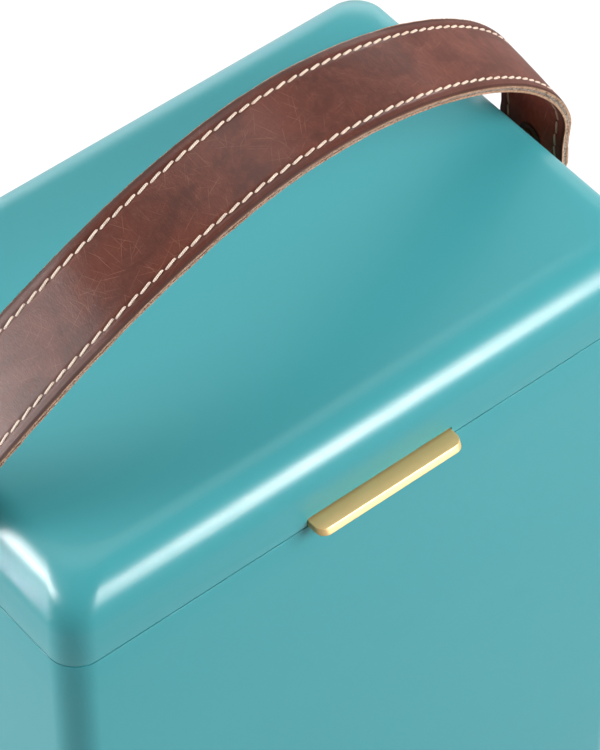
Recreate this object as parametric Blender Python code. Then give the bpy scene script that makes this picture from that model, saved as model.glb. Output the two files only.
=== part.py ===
"""Insulated cooler box: a rounded case, a hinged lid with a sprung latch, and a leather strap on studs.

Metres, +Z up. The origin is on the floor under the middle of the case. The front, with the latch tab,
faces -Y. The strap stands at rest with a slight lean to the front.
"""

import math

import bmesh
import bpy
from mathutils import Matrix, Vector

# Body. The seam is where the lid meets the case.
BODY_LENGTH = 0.320
BODY_DEPTH = 0.205
CASE_HEIGHT = 0.344
LID_HEIGHT = 0.040
FOOT_HEIGHT = 0.006
CORNER_RADIUS = 0.014
LID_FILLET = 0.0195
BASE_FILLET = 0.010
SEAM_GAP = 0.0008
EDGE_BREAK = 0.0005
SHELL_WALL = 0.0025
LINER_WALL = 0.002
FOAM_WALL = 0.0225
FIT = 0.0003
CUT_OVERRUN = 0.002
BARREL_STEP = 0.0002

# Inner tub and its flange.
CAVITY_CORNER_RADIUS = 0.018
CAVITY_FLOOR_FILLET = 0.012
RIM_DROP = 0.003
RIM_EDGE_RADIUS = 0.0015
PLUG_CLEARANCE = 0.0015
PLUG_DEPTH = 0.008
PLUG_FILLET = 0.003
LID_PANEL_RISE = 0.001
GASKET_WIDTH = 0.004
GASKET_INSET = 0.0215

# Rubber feet, pushed through the floor of the case.
FOOT_RADIUS = 0.012
FOOT_INSET = 0.034
FOOT_TAPER = 0.0015
FOOT_STEM_RADIUS = 0.003
FOOT_BARB_RADIUS = 0.0038
FOOT_BARB_HEIGHT = 0.0022

# Latch: tab, pivot, hook and strike. Depths run inward from the front face, rises up from the seam.
TAB_LENGTH = 0.077
TAB_REACH = 0.0095
TAB_THICKNESS = 0.0035
TAB_RISE = 0.0003
TAB_CORNER_RADIUS = 0.004
TAB_EDGE_BREAK = 0.0006
LATCH_TRAVEL_DEG = 12
PIVOT_DEPTH = 0.0042
PIVOT_BARREL_RADIUS = 0.0019
TAB_BACK_EDGE = 0.0015
LATCH_PIN_RADIUS = 0.0008
TONGUE_LENGTH = 0.028
TONGUE_DEPTH = 0.0105
TONGUE_THICKNESS = 0.002
SPRING_BAY = 0.0125
HOOK_LENGTH = 0.024
HOOK_THICKNESS = 0.0015
HOOK_DROP = 0.012
HOOK_NOSE_DEPTH = 0.0024
HOOK_NOSE_HEIGHT = 0.0035
HOOK_LEAF_START = 0.0064
STRIKE_LENGTH = 0.044
STRIKE_THICKNESS = 0.0012
STRIKE_DROP = 0.0082
STRIKE_FLANGE_DEPTH = 0.0205
STRIKE_SCREW_SPACING = 0.034
LATCH_POCKET_DEPTH = 0.0165
LATCH_POCKET_RISE = 0.009
HOOK_POCKET_DROP = 0.016
HOOK_POCKET_START = 0.007
BRACKET_THICKNESS = 0.0012
BRACKET_DEPTH = 0.015
SPRING_WIRE_RADIUS = 0.0004
SPRING_COIL_RADIUS = 0.0017
SPRING_TURNS = 4
SPRING_LENGTH = 0.006

# Rear hinges.
HINGE_LENGTH = 0.060
HINGE_SPACING_SHARE = 0.594
HINGE_AXIS_REACH = 0.005
HINGE_BARREL_RADIUS = 0.0045
HINGE_PIN_RADIUS = 0.0018
HINGE_PIN_HEAD_RADIUS = 0.0034
HINGE_PIN_HEAD_HEIGHT = 0.0012
LEAF_THICKNESS = 0.0015
LEAF_CASE_DROP = 0.026
LEAF_LID_RISE = 0.0185
LEAF_CORNER_RADIUS = 0.003
LEAF_AXIS_GAP = 0.001
LID_KNUCKLE_LENGTH = 0.022
HINGE_SCREW_SPACING = 0.0395
CASE_SCREW_DROP = 0.0165
LID_SCREW_RISE = 0.0125

# Screws of the hinges and of the strike.
SCREW_HEAD_RADIUS = 0.003
SCREW_HEAD_HEIGHT = 0.0012
SCREW_SHANK_RADIUS = 0.0015
SCREW_LENGTH = 0.009

# Strap and its studs.
STRAP_WIDTH = 0.042
FACE_THICKNESS = 0.0014
CORE_THICKNESS = 0.0008
LINING_THICKNESS = 0.0014
STRAP_STANDOFF = 0.0123
STRAP_CROWN = 0.1332
STRAP_STRAIGHT = 0.0142
STRAP_BULGE = 0.0195
STRAP_SIDE_PULL = 0.020
STRAP_CROWN_PULL_SHARE = 0.541
STRAP_ROOT_START = 0.008
STRAP_ROOT_PULL = 0.008
STRAP_ROOT_SHARE = 0.15
STRAP_LEAN_DEG = 11
STRAP_ASKEW_SHARE = 0.08
STRAP_ASKEW_HEIGHT = 0.035
STUD_RISE = 0.0088
STUD_FLANGE_RADIUS = 0.0065
STUD_FLANGE_THICKNESS = 0.0015
STUD_SHOULDER_RADIUS = 0.0045
STUD_NECK_RADIUS = 0.0035
STUD_THREAD_RADIUS = 0.003
STUD_CAP_RADIUS = 0.009
STUD_CAP_HEIGHT = 0.0055
STUD_CAP_BORE_DEPTH = 0.0035
STUD_NUT_RADIUS = 0.005
STUD_NUT_THICKNESS = 0.0035
WASHER_RADIUS = 0.0065
WASHER_THICKNESS = 0.001

# How finely round forms are cut into facets.
CORNER_STEPS = 7
FILLET_STEPS = 6
SMALL_STEPS = 2
ROUND_SIDES = 24
SMALL_ROUND_SIDES = 16
STRAP_SIDE_STEPS = 20
STRAP_ROOT_STEPS = 4
STRAP_END_STEPS = 7
SPRING_POINTS_PER_TURN = 10

# Places that follow from the sizes above.
SEAM = FOOT_HEIGHT + CASE_HEIGHT
LID_TOP = SEAM + LID_HEIGHT
FRONT = -BODY_DEPTH / 2
REAR = BODY_DEPTH / 2
SIDE = BODY_LENGTH / 2
SKIRT_BOTTOM = SEAM + SEAM_GAP / 2
CASE_TOP = SEAM - SEAM_GAP / 2
CAVITY_INSET = SHELL_WALL + FIT + FOAM_WALL + FIT + LINER_WALL
CAVITY_FLOOR = FOOT_HEIGHT + CAVITY_INSET
RIM = SEAM - RIM_DROP
LID_PANEL = SEAM + LID_PANEL_RISE
LINER_EDGE_INSET = SHELL_WALL + FIT
STRAP_THICKNESS = FACE_THICKNESS + FIT + CORE_THICKNESS + FIT + LINING_THICKNESS
STRAP_HALF_SPAN = SIDE + STRAP_STANDOFF + STRAP_THICKNESS
STUD_AXIS = (0, 0, SEAM + STUD_RISE)
HINGE_AXIS = (0, REAR + HINGE_AXIS_REACH, SEAM)
PIVOT_RISE = TAB_RISE + TAB_THICKNESS / 2
LATCH_AXIS = (0, FRONT + PIVOT_DEPTH, SEAM + PIVOT_RISE)
HOLE_GROWTH = 2 * FIT


def clear_scene():
    for scene_object in list(bpy.data.objects):
        bpy.data.objects.remove(scene_object, do_unlink=True)


def material(name, color, roughness, metallic=0.0):
    made = bpy.data.materials.new(name)
    made.use_nodes = True
    shader = made.node_tree.nodes["Principled BSDF"]
    shader.inputs["Base Color"].default_value = (*color, 1.0)
    shader.inputs["Roughness"].default_value = roughness
    shader.inputs["Metallic"].default_value = metallic
    made.diffuse_color = (*color, 1.0)
    return made


def object_from(name, mesh_builder, finish):
    """A scene object whose mesh takes its faces from a bmesh, with outward normals and smooth round sides."""
    mesh = bpy.data.meshes.new(name)
    bmesh.ops.recalc_face_normals(mesh_builder, faces=mesh_builder.faces)
    mesh_builder.to_mesh(mesh)
    mesh_builder.free()
    if finish:
        mesh.materials.append(finish)
    mesh.shade_smooth()
    mesh.set_sharp_from_angle(angle=math.radians(35))
    made = bpy.data.objects.new(name, mesh)
    bpy.context.scene.collection.objects.link(made)
    return made


def hide_cutter(cutter):
    cutter.hide_render = True
    cutter.display_type = "WIRE"
    return cutter


def combine(target, other, operation):
    """Adds a Boolean to target. The other object becomes a hidden guide."""
    boolean = target.modifiers.new(operation.title(), "BOOLEAN")
    boolean.operation = operation
    boolean.solver = "EXACT"
    boolean.object = hide_cutter(other)
    return target


def rounded_rectangle(half_x, half_y, radius, steps=CORNER_STEPS):
    """Plan points of a rectangle with round corners, anticlockwise from +X."""
    points = []
    for corner, (sign_x, sign_y) in enumerate(((1, 1), (-1, 1), (-1, -1), (1, -1))):
        center = (sign_x * (half_x - radius), sign_y * (half_y - radius))
        for step in range(steps + 1):
            angle = math.pi / 2 * (corner + step / steps)
            points.append((center[0] + radius * math.cos(angle), center[1] + radius * math.sin(angle)))
    return points


def body_ring(inset, height, radius=None):
    """Plan ring of the body, moved inward by inset. Its corner radius shrinks with it unless given."""
    if radius is None:
        radius = CORNER_RADIUS - inset
    plan = rounded_rectangle(SIDE - inset, REAR - inset, radius)
    return [(x, y, height) for x, y in plan]


def loft(name, rings, finish):
    """One closed body: rings of equal count bridged in order, and the first and last ring capped."""
    builder = bmesh.new()
    rows = [[builder.verts.new(point) for point in ring] for ring in rings]
    for lower, upper in zip(rows, rows[1:]):
        bridge(builder, lower, upper)
    builder.faces.new(rows[0])
    builder.faces.new(rows[-1])
    return object_from(name, builder, finish)


def bridge(builder, lower, upper):
    count = len(lower)
    for index in range(count):
        following = (index + 1) % count
        builder.faces.new((lower[index], lower[following], upper[following], upper[index]))


def loop_loft(name, rings, finish):
    """One closed ring-shaped body: the last ring is bridged back to the first."""
    builder = bmesh.new()
    rows = [[builder.verts.new(point) for point in ring] for ring in rings]
    for lower, upper in zip(rows, rows[1:] + rows[:1]):
        bridge(builder, lower, upper)
    return object_from(name, builder, finish)


def revolve(name, profile, finish, sides=ROUND_SIDES):
    """Turned piece round local Z. Profile points are (radius, height), and a radius of zero closes it."""
    builder = bmesh.new()
    rows = []
    for radius, height in profile:
        if radius == 0:
            rows.append([builder.verts.new((0, 0, height))])
            continue
        row = []
        for side in range(sides):
            angle = 2 * math.pi * side / sides
            row.append(builder.verts.new((radius * math.cos(angle), radius * math.sin(angle), height)))
        rows.append(row)
    closed = profile[0][0] != 0
    pairs = list(zip(rows, rows[1:] + rows[:1])) if closed else list(zip(rows, rows[1:]))
    for lower, upper in pairs:
        if len(lower) > 1 and len(upper) > 1:
            bridge(builder, lower, upper)
            continue
        tip, row = (lower[0], upper) if len(lower) == 1 else (upper[0], lower)
        for side in range(sides):
            builder.faces.new((tip, row[side], row[(side + 1) % sides]))
    return object_from(name, builder, finish)


def extrude_outline(name, outline, start, end, finish):
    """Prism along X. Outline points are (y, z)."""
    return loft(name, [[(x, y, z) for y, z in outline] for x in (start, end)], finish)


def box(name, low, high, finish=None):
    outline = [(low[1], low[2]), (high[1], low[2]), (high[1], high[2]), (low[1], high[2])]
    return extrude_outline(name, outline, low[0], high[0], finish)


def rod(name, radius, start, end, axis, center, sides=SMALL_ROUND_SIDES, finish=None):
    """Cylinder along X, Y or Z, from start to end, through a center point."""
    made = revolve(name, [(0, start), (radius, start), (radius, end), (0, end)], finish, sides)
    return lay_along(made, axis, center)


def lay_along(made, axis, center):
    """Turns a piece made round local Z to lie along X, -X, Y or Z, and moves it to a center point."""
    turn = {
        "X": Matrix.Rotation(math.pi / 2, 4, "Y"),
        "-X": Matrix.Rotation(-math.pi / 2, 4, "Y"),
        "Y": Matrix.Rotation(-math.pi / 2, 4, "X"),
        "Z": Matrix.Identity(4),
    }[axis]
    made.matrix_world = Matrix.Translation(Vector(center)) @ turn
    return made


def fillet_insets(radius, steps=FILLET_STEPS):
    """(inset, drop) pairs of a quarter round, from its flat face's edge to its wall."""
    pairs = []
    for step in range(steps + 1):
        angle = math.pi / 2 * step / steps
        pairs.append((radius * (1 - math.sin(angle)), radius * (1 - math.cos(angle))))
    return pairs


def place_on(made, point):
    """Gives a piece its origin at a point on its joint's axis, with its mesh where it was."""
    offset = Vector(point)
    made.data.transform(Matrix.Translation(-offset))
    made.location = offset
    return made


def build_case(finishes):
    floor = FOOT_HEIGHT
    inner_fillet = BASE_FILLET - SHELL_WALL
    inner_radius = CORNER_RADIUS - SHELL_WALL
    rings = [body_ring(inset, floor + drop) for inset, drop in fillet_insets(BASE_FILLET)]
    rings += [
        body_ring(0, CASE_TOP - EDGE_BREAK),
        body_ring(EDGE_BREAK, CASE_TOP),
        body_ring(SHELL_WALL, CASE_TOP),
    ]
    rings += [
        body_ring(SHELL_WALL + inset, floor + SHELL_WALL + drop, inner_radius - inset)
        for inset, drop in reversed(fillet_insets(inner_fillet, SMALL_STEPS))
    ]
    shell = loft("case_shell", rings, finishes["shell"])

    foam_inset = SHELL_WALL + FIT
    foam_floor = floor + foam_inset
    foam_top = RIM - LINER_WALL - FIT
    inner_inset = foam_inset + FOAM_WALL
    tub_radius = CAVITY_CORNER_RADIUS + LINER_WALL + FIT
    rings = [body_ring(foam_inset + i, foam_floor + d) for i, d in fillet_insets(inner_fillet, SMALL_STEPS)]
    rings += [
        body_ring(foam_inset, foam_top),
        body_ring(inner_inset, foam_top, tub_radius),
        body_ring(inner_inset, foam_floor + FOAM_WALL, tub_radius),
    ]
    foam = loft("case_foam", rings, finishes["foam"])

    outer_inset = CAVITY_INSET - LINER_WALL
    outer_radius = CAVITY_CORNER_RADIUS + LINER_WALL
    outer_floor = CAVITY_FLOOR - LINER_WALL
    rings = [
        body_ring(outer_inset, outer_floor, outer_radius),
        body_ring(outer_inset, RIM - LINER_WALL, outer_radius),
        body_ring(LINER_EDGE_INSET, RIM - LINER_WALL),
        body_ring(LINER_EDGE_INSET, RIM),
    ]
    for inset, drop in fillet_insets(RIM_EDGE_RADIUS, SMALL_STEPS):
        rings.append(body_ring(CAVITY_INSET - inset, RIM - drop, CAVITY_CORNER_RADIUS + inset))
    for inset, drop in reversed(fillet_insets(CAVITY_FLOOR_FILLET, SMALL_STEPS + 1)):
        rings.append(body_ring(CAVITY_INSET + inset, CAVITY_FLOOR + drop, CAVITY_CORNER_RADIUS - inset))
    liner = loft("case_liner", rings, finishes["liner"])
    return shell, foam, liner


def build_feet(finishes, shell, foam):
    stem_top = FOOT_HEIGHT + SHELL_WALL + FIT
    profile = [
        (0, 0),
        (FOOT_RADIUS - FOOT_TAPER, 0),
        (FOOT_RADIUS, FOOT_TAPER),
        (FOOT_RADIUS, FOOT_HEIGHT - FIT),
        (FOOT_STEM_RADIUS, FOOT_HEIGHT - FIT),
        (FOOT_STEM_RADIUS, stem_top),
        (FOOT_BARB_RADIUS, stem_top),
        (FOOT_STEM_RADIUS, stem_top + FOOT_BARB_HEIGHT),
        (0, stem_top + FOOT_BARB_HEIGHT),
    ]
    for end, y in (("front", FRONT + FOOT_INSET), ("rear", REAR - FOOT_INSET)):
        for hand, x in (("left", FOOT_INSET - SIDE), ("right", SIDE - FOOT_INSET)):
            foot = revolve(f"foot_{end}_{hand}", profile, finishes["rubber"])
            foot.location = (x, y, 0)
            hole_radius = FOOT_STEM_RADIUS + FIT
            drill(shell, hole_radius, FOOT_HEIGHT - CUT_OVERRUN, stem_top + CUT_OVERRUN, "Z", (x, y, 0))
            pocket_top = stem_top + FOOT_BARB_HEIGHT + FIT
            drill(foam, FOOT_BARB_RADIUS + FIT, FOOT_HEIGHT, pocket_top, "Z", (x, y, 0))


def drill(target, radius, start, end, axis, center):
    cutter = rod(f"{target.name}_drill_{len(target.modifiers)}", radius, start, end, axis, center)
    combine(target, cutter, "DIFFERENCE")


def build_lid(finishes):
    skirt_radius = CORNER_RADIUS - SHELL_WALL
    inner_fillet = LID_FILLET - SHELL_WALL
    # The rolled top edge is wider than the corners are round, so its rings keep one corner radius.
    rings = [body_ring(inset, LID_TOP - drop, CORNER_RADIUS) for inset, drop in fillet_insets(LID_FILLET)]
    rings += [
        body_ring(0, SKIRT_BOTTOM + EDGE_BREAK),
        body_ring(EDGE_BREAK, SKIRT_BOTTOM),
        body_ring(SHELL_WALL, SKIRT_BOTTOM),
    ]
    ceiling = LID_TOP - SHELL_WALL
    for inset, drop in reversed(fillet_insets(inner_fillet, SMALL_STEPS + 1)):
        rings.append(body_ring(SHELL_WALL + inset, ceiling - drop, skirt_radius))
    shell = loft("lid_shell", rings, finishes["shell"])

    plug_inset = CAVITY_INSET + PLUG_CLEARANCE
    plug_radius = CAVITY_CORNER_RADIUS - PLUG_CLEARANCE
    plug_floor = SEAM - PLUG_DEPTH
    hollow_inset = plug_inset + LINER_WALL
    hollow_radius = plug_radius - LINER_WALL
    rings = [body_ring(plug_inset + i, plug_floor + d, plug_radius - i) for i, d in fillet_insets(PLUG_FILLET, SMALL_STEPS)]
    rings += [
        body_ring(plug_inset, LID_PANEL, plug_radius),
        body_ring(LINER_EDGE_INSET, LID_PANEL),
        body_ring(LINER_EDGE_INSET, LID_PANEL + LINER_WALL),
        body_ring(hollow_inset, LID_PANEL + LINER_WALL, hollow_radius),
        body_ring(hollow_inset, plug_floor + LINER_WALL, hollow_radius),
    ]
    liner = loft("lid_liner", rings, finishes["liner"])

    foam_inset = SHELL_WALL + FIT
    foam_ceiling = ceiling - FIT
    rings = [
        body_ring(hollow_inset + FIT, plug_floor + LINER_WALL + FIT, hollow_radius - FIT),
        body_ring(hollow_inset + FIT, LID_PANEL + LINER_WALL + FIT, hollow_radius - FIT),
        body_ring(foam_inset, LID_PANEL + LINER_WALL + FIT),
    ]
    for inset, drop in reversed(fillet_insets(inner_fillet, SMALL_STEPS + 1)):
        rings.append(body_ring(foam_inset + inset, foam_ceiling - drop, skirt_radius - FIT))
    foam = loft("lid_foam", rings, finishes["foam"])
    return shell, liner, foam


def build_gasket(finishes):
    """Seal ring with a round nose that lies on the flange of the tub."""
    top = LID_PANEL - FIT
    bottom = RIM + FIT
    nose = GASKET_WIDTH / 2
    middle = GASKET_INSET + nose
    rings = [body_ring(GASKET_INSET, top, CAVITY_CORNER_RADIUS + nose)]
    for step in range(FILLET_STEPS + 1):
        angle = math.pi * step / FILLET_STEPS
        inset = middle - nose * math.cos(angle)
        height = bottom + nose * (1 - math.sin(angle))
        rings.append(body_ring(inset, height, CAVITY_CORNER_RADIUS + nose * math.cos(angle)))
    rings.append(body_ring(GASKET_INSET + GASKET_WIDTH, top, CAVITY_CORNER_RADIUS - nose))
    return loop_loft("lid_gasket", rings, finishes["seal"])


def tab_outline(length, reach, radius, steps=CORNER_STEPS - 2):
    """Plan points of the tab: a bar with two round front corners. The rear edge lies inside the barrels."""
    rear = PIVOT_DEPTH - LATCH_PIN_RADIUS
    points = [(length / 2, rear), (-length / 2, rear)]
    for sign in (-1, 1):
        center = (sign * (length / 2 - radius), radius - reach)
        for step in range(steps + 1):
            angle = math.pi / 2 * step / steps
            swing = angle if sign < 0 else math.pi / 2 - angle
            points.append((center[0] + sign * radius * math.cos(swing), center[1] - radius * math.sin(swing)))
    return points


def build_latch(finishes, lid_shell, lid_liner, lid_foam, case_liner, case_foam):
    bottom = SEAM + TAB_RISE
    top = bottom + TAB_THICKNESS
    rings = []
    for inset, height in ((TAB_EDGE_BREAK, bottom), (0, bottom + TAB_EDGE_BREAK), (0, top - TAB_EDGE_BREAK), (TAB_EDGE_BREAK, top)):
        outline = tab_outline(TAB_LENGTH - 2 * inset, TAB_REACH - inset, TAB_CORNER_RADIUS)
        rings.append([(x, FRONT + depth, height) for x, depth in outline])
    tab = loft("latch_tab", rings, finishes["gold"])

    # The tab narrows behind the skirt: end barrels and a middle barrel with the tongue turn on the pin.
    half = TAB_LENGTH / 2
    trim_low = (FRONT + TAB_BACK_EDGE, bottom - CUT_OVERRUN)
    trim_high = (LATCH_AXIS[1] + CUT_OVERRUN, top + CUT_OVERRUN)
    tongue_half = TONGUE_LENGTH / 2
    gap_end = tongue_half + SPRING_BAY
    gap_start = tongue_half - BARREL_STEP
    for name, start, end in (
        ("latch_tab_left_gap", -gap_end, -gap_start),
        ("latch_tab_right_gap", gap_start, gap_end),
    ):
        combine(tab, box(name, (start, *trim_low), (end, *trim_high)), "DIFFERENCE")
    for name, start, end in (
        ("latch_tab_left_barrel", BARREL_STEP - half, BARREL_STEP - gap_end),
        ("latch_tab_middle_barrel", -tongue_half, tongue_half),
        ("latch_tab_right_barrel", gap_end - BARREL_STEP, half - BARREL_STEP),
    ):
        combine(tab, rod(name, PIVOT_BARREL_RADIUS, start, end, "X", LATCH_AXIS, ROUND_SIDES), "UNION")
    tongue_middle = LATCH_AXIS[2]
    tongue = box(
        "latch_tab_tongue",
        (-gap_start, LATCH_AXIS[1] + LATCH_PIN_RADIUS, tongue_middle - TONGUE_THICKNESS / 2),
        (gap_start, FRONT + TONGUE_DEPTH, tongue_middle + TONGUE_THICKNESS / 2),
    )
    combine(tab, tongue, "UNION")
    bore = LATCH_PIN_RADIUS + FIT
    combine(tab, rod("latch_tab_bore", bore, -half - CUT_OVERRUN, half + CUT_OVERRUN, "X", LATCH_AXIS), "DIFFERENCE")

    leaf_bottom = tongue_middle + TONGUE_THICKNESS / 2 + FIT
    leaf_top = leaf_bottom + HOOK_THICKNESS
    arm_front = FRONT + TONGUE_DEPTH + FIT
    arm_rear = arm_front + HOOK_THICKNESS
    hook_bottom = SEAM - HOOK_DROP
    nose_top = hook_bottom + HOOK_NOSE_HEIGHT
    outline = [
        (FRONT + HOOK_LEAF_START, leaf_bottom),
        (arm_front, leaf_bottom),
        (arm_front, hook_bottom),
        (arm_rear, hook_bottom),
        (arm_rear + HOOK_NOSE_DEPTH, nose_top - HOOK_THICKNESS / 2),
        (arm_rear + HOOK_NOSE_DEPTH, nose_top),
        (arm_rear, nose_top),
        (arm_rear, leaf_top),
        (FRONT + HOOK_LEAF_START, leaf_top),
    ]
    hook = extrude_outline("latch_hook", outline, -HOOK_LENGTH / 2, HOOK_LENGTH / 2, finishes["steel"])

    half_bracket = half + FIT + BRACKET_THICKNESS
    pin = rod("latch_pin", LATCH_PIN_RADIUS, -half_bracket, half_bracket, "X", LATCH_AXIS, finish=finishes["steel"])
    pocket_top = SEAM + LATCH_POCKET_RISE
    plate_top = pocket_top - FIT
    ear_front = FRONT + SHELL_WALL + FIT
    bracket_low = (-half_bracket, ear_front, SKIRT_BOTTOM)
    bracket_high = (half_bracket, FRONT + BRACKET_DEPTH, plate_top)
    bracket = box("latch_bracket", bracket_low, bracket_high, finishes["steel"])
    hollow_low = (-half - FIT, ear_front - CUT_OVERRUN, SKIRT_BOTTOM - CUT_OVERRUN)
    hollow_high = (half + FIT, bracket_high[1] + CUT_OVERRUN, plate_top - BRACKET_THICKNESS)
    combine(bracket, box("latch_bracket_hollow", hollow_low, hollow_high), "DIFFERENCE")
    drill(bracket, bore, -half_bracket - CUT_OVERRUN, half_bracket + CUT_OVERRUN, "X", LATCH_AXIS)

    # The notch in the skirt leaves room for the tab's rise over its travel.
    rise = PIVOT_DEPTH * math.tan(math.radians(LATCH_TRAVEL_DEG))
    notch_low = (-half - FIT, FRONT - CUT_OVERRUN, SKIRT_BOTTOM - CUT_OVERRUN)
    notch_high = (half + FIT, FRONT + SHELL_WALL + CUT_OVERRUN, top + rise + FIT)
    combine(lid_shell, box("lid_shell_notch", notch_low, notch_high), "DIFFERENCE")
    pocket_half = half_bracket + FIT
    for target in (lid_liner, lid_foam):
        low = (-pocket_half, FRONT, SEAM - CUT_OVERRUN)
        high = (pocket_half, FRONT + LATCH_POCKET_DEPTH, pocket_top)
        combine(target, box(f"{target.name}_latch_pocket", low, high), "DIFFERENCE")

    strike_half = STRIKE_LENGTH / 2
    web_front = arm_rear + HOOK_THICKNESS + FIT
    strike_low = RIM + FIT
    strike_top = strike_low + STRIKE_THICKNESS
    web_rear = web_front + STRIKE_THICKNESS
    lip_bottom = SEAM - STRIKE_DROP
    lip_front = arm_rear + HOOK_THICKNESS / 2
    outline = [
        (lip_front, lip_bottom),
        (web_rear, lip_bottom),
        (web_rear, strike_low),
        (FRONT + STRIKE_FLANGE_DEPTH, strike_low),
        (FRONT + STRIKE_FLANGE_DEPTH, strike_top),
        (web_front, strike_top),
        (web_front, lip_bottom + STRIKE_THICKNESS),
        (lip_front, lip_bottom + STRIKE_THICKNESS),
    ]
    strike = extrude_outline("strike_plate", outline, -strike_half, strike_half, finishes["steel"])
    slot_front = FRONT + HOOK_POCKET_START
    slot_rear = web_rear + FIT
    pocket_floor = SEAM - HOOK_POCKET_DROP
    for target in (case_liner, case_foam):
        low = (-strike_half - FIT, slot_front, pocket_floor)
        high = (strike_half + FIT, slot_rear, RIM + CUT_OVERRUN)
        combine(target, box(f"{target.name}_hook_pocket", low, high), "DIFFERENCE")
    screw_depth = (web_rear + FRONT + STRIKE_FLANGE_DEPTH) / 2
    for hand, x in (("left", -STRIKE_SCREW_SPACING / 2), ("right", STRIKE_SCREW_SPACING / 2)):
        seat = (x, screw_depth, strike_top + FIT)
        build_screw(f"strike_screw_{hand}", seat, "Z", finishes, (strike, case_liner, case_foam))

    for moving in (tab, hook):
        place_on(moving, LATCH_AXIS)
    place_on_pin = Vector(LATCH_AXIS)
    return tab, hook, pin, place_on_pin


def build_screw(name, seat, axis, finishes, passed):
    """Round-head screw. Its head sits on seat, and its shank runs into the pieces that it passes."""
    profile = [
        (0, -SCREW_LENGTH),
        (SCREW_SHANK_RADIUS / 2, -SCREW_LENGTH),
        (SCREW_SHANK_RADIUS, -SCREW_LENGTH + SCREW_SHANK_RADIUS),
        (SCREW_SHANK_RADIUS, 0),
        (SCREW_HEAD_RADIUS, 0),
        (SCREW_HEAD_RADIUS, SCREW_HEAD_HEIGHT / 2),
        (SCREW_HEAD_RADIUS / 2, SCREW_HEAD_HEIGHT),
        (0, SCREW_HEAD_HEIGHT),
    ]
    screw = revolve(name, profile, finishes["steel"], SMALL_ROUND_SIDES)
    lay_along(screw, axis, seat)
    for target in passed:
        drill(target, SCREW_SHANK_RADIUS + FIT, -SCREW_LENGTH - FIT, CUT_OVERRUN, axis, seat)


def build_spring(finishes):
    """Torsion spring on the latch pin: its coil, a leg under the tongue and a leg up to the bracket."""
    start = TONGUE_LENGTH / 2 + 2 * FIT + SPRING_WIRE_RADIUS
    pivot_y, pivot_z = LATCH_AXIS[1:]
    wire_gap = FIT + SPRING_WIRE_RADIUS
    under_tongue = pivot_z - TONGUE_THICKNESS / 2 - wire_gap
    leg_depth = pivot_y + TONGUE_THICKNESS + SPRING_COIL_RADIUS
    points = [
        (start - SPRING_LENGTH / 2, leg_depth, under_tongue),
        (start, leg_depth, under_tongue),
        (start, (leg_depth + pivot_y) / 2, (under_tongue + pivot_z - SPRING_COIL_RADIUS) / 2),
    ]
    count = SPRING_TURNS * SPRING_POINTS_PER_TURN
    for step in range(count + 1):
        turn = 2 * math.pi * step / SPRING_POINTS_PER_TURN
        x = start + SPRING_LENGTH * step / count
        y = pivot_y - SPRING_COIL_RADIUS * math.sin(turn)
        z = pivot_z - SPRING_COIL_RADIUS * math.cos(turn)
        points.append((x, y, z))
    plate_bottom = SEAM + LATCH_POCKET_RISE - FIT - BRACKET_THICKNESS
    last = points[-1]
    points.append((last[0], last[1] + SPRING_COIL_RADIUS, last[2]))
    points.append((last[0], leg_depth + SPRING_COIL_RADIUS, plate_bottom - wire_gap))
    curve = bpy.data.curves.new("latch_spring", "CURVE")
    curve.dimensions = "3D"
    curve.bevel_depth = SPRING_WIRE_RADIUS
    curve.bevel_resolution = 1
    curve.use_fill_caps = True
    spline = curve.splines.new("POLY")
    spline.points.add(len(points) - 1)
    for spline_point, point in zip(spline.points, points):
        spline_point.co = (*point, 1)
    curve.materials.append(finishes["steel"])
    spring = bpy.data.objects.new("latch_spring", curve)
    bpy.context.scene.collection.objects.link(spring)
    pitch = SPRING_LENGTH / SPRING_TURNS
    print(f"latch_spring: least gap between turns {1000 * (pitch - 2 * SPRING_WIRE_RADIUS):.2f} mm")


def leaf_plate(name, center_x, low, high, finish):
    """Flat hinge leaf behind the rear wall, with its two far corners rounded."""
    near_axis, far_edge = (high, low) if abs(high - SEAM) < abs(low - SEAM) else (low, high)
    direction = 1 if far_edge > near_axis else -1
    half = HINGE_LENGTH / 2 - BARREL_STEP
    near_axis += direction * LEAF_AXIS_GAP
    outline = [(-half, near_axis), (half, near_axis)]
    for sign in (1, -1):
        center_z = far_edge - direction * LEAF_CORNER_RADIUS
        for step in range(SMALL_STEPS + 2):
            angle = math.pi / 2 * step / (SMALL_STEPS + 1)
            swing = angle if sign > 0 else math.pi / 2 - angle
            x = sign * (half - LEAF_CORNER_RADIUS + LEAF_CORNER_RADIUS * math.cos(swing))
            outline.append((x, center_z + direction * LEAF_CORNER_RADIUS * math.sin(swing)))
    near = REAR + FIT
    rings = [[(center_x + x, y, z) for x, z in outline] for y in (near, near + LEAF_THICKNESS)]
    return loft(name, rings, finish)


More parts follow.
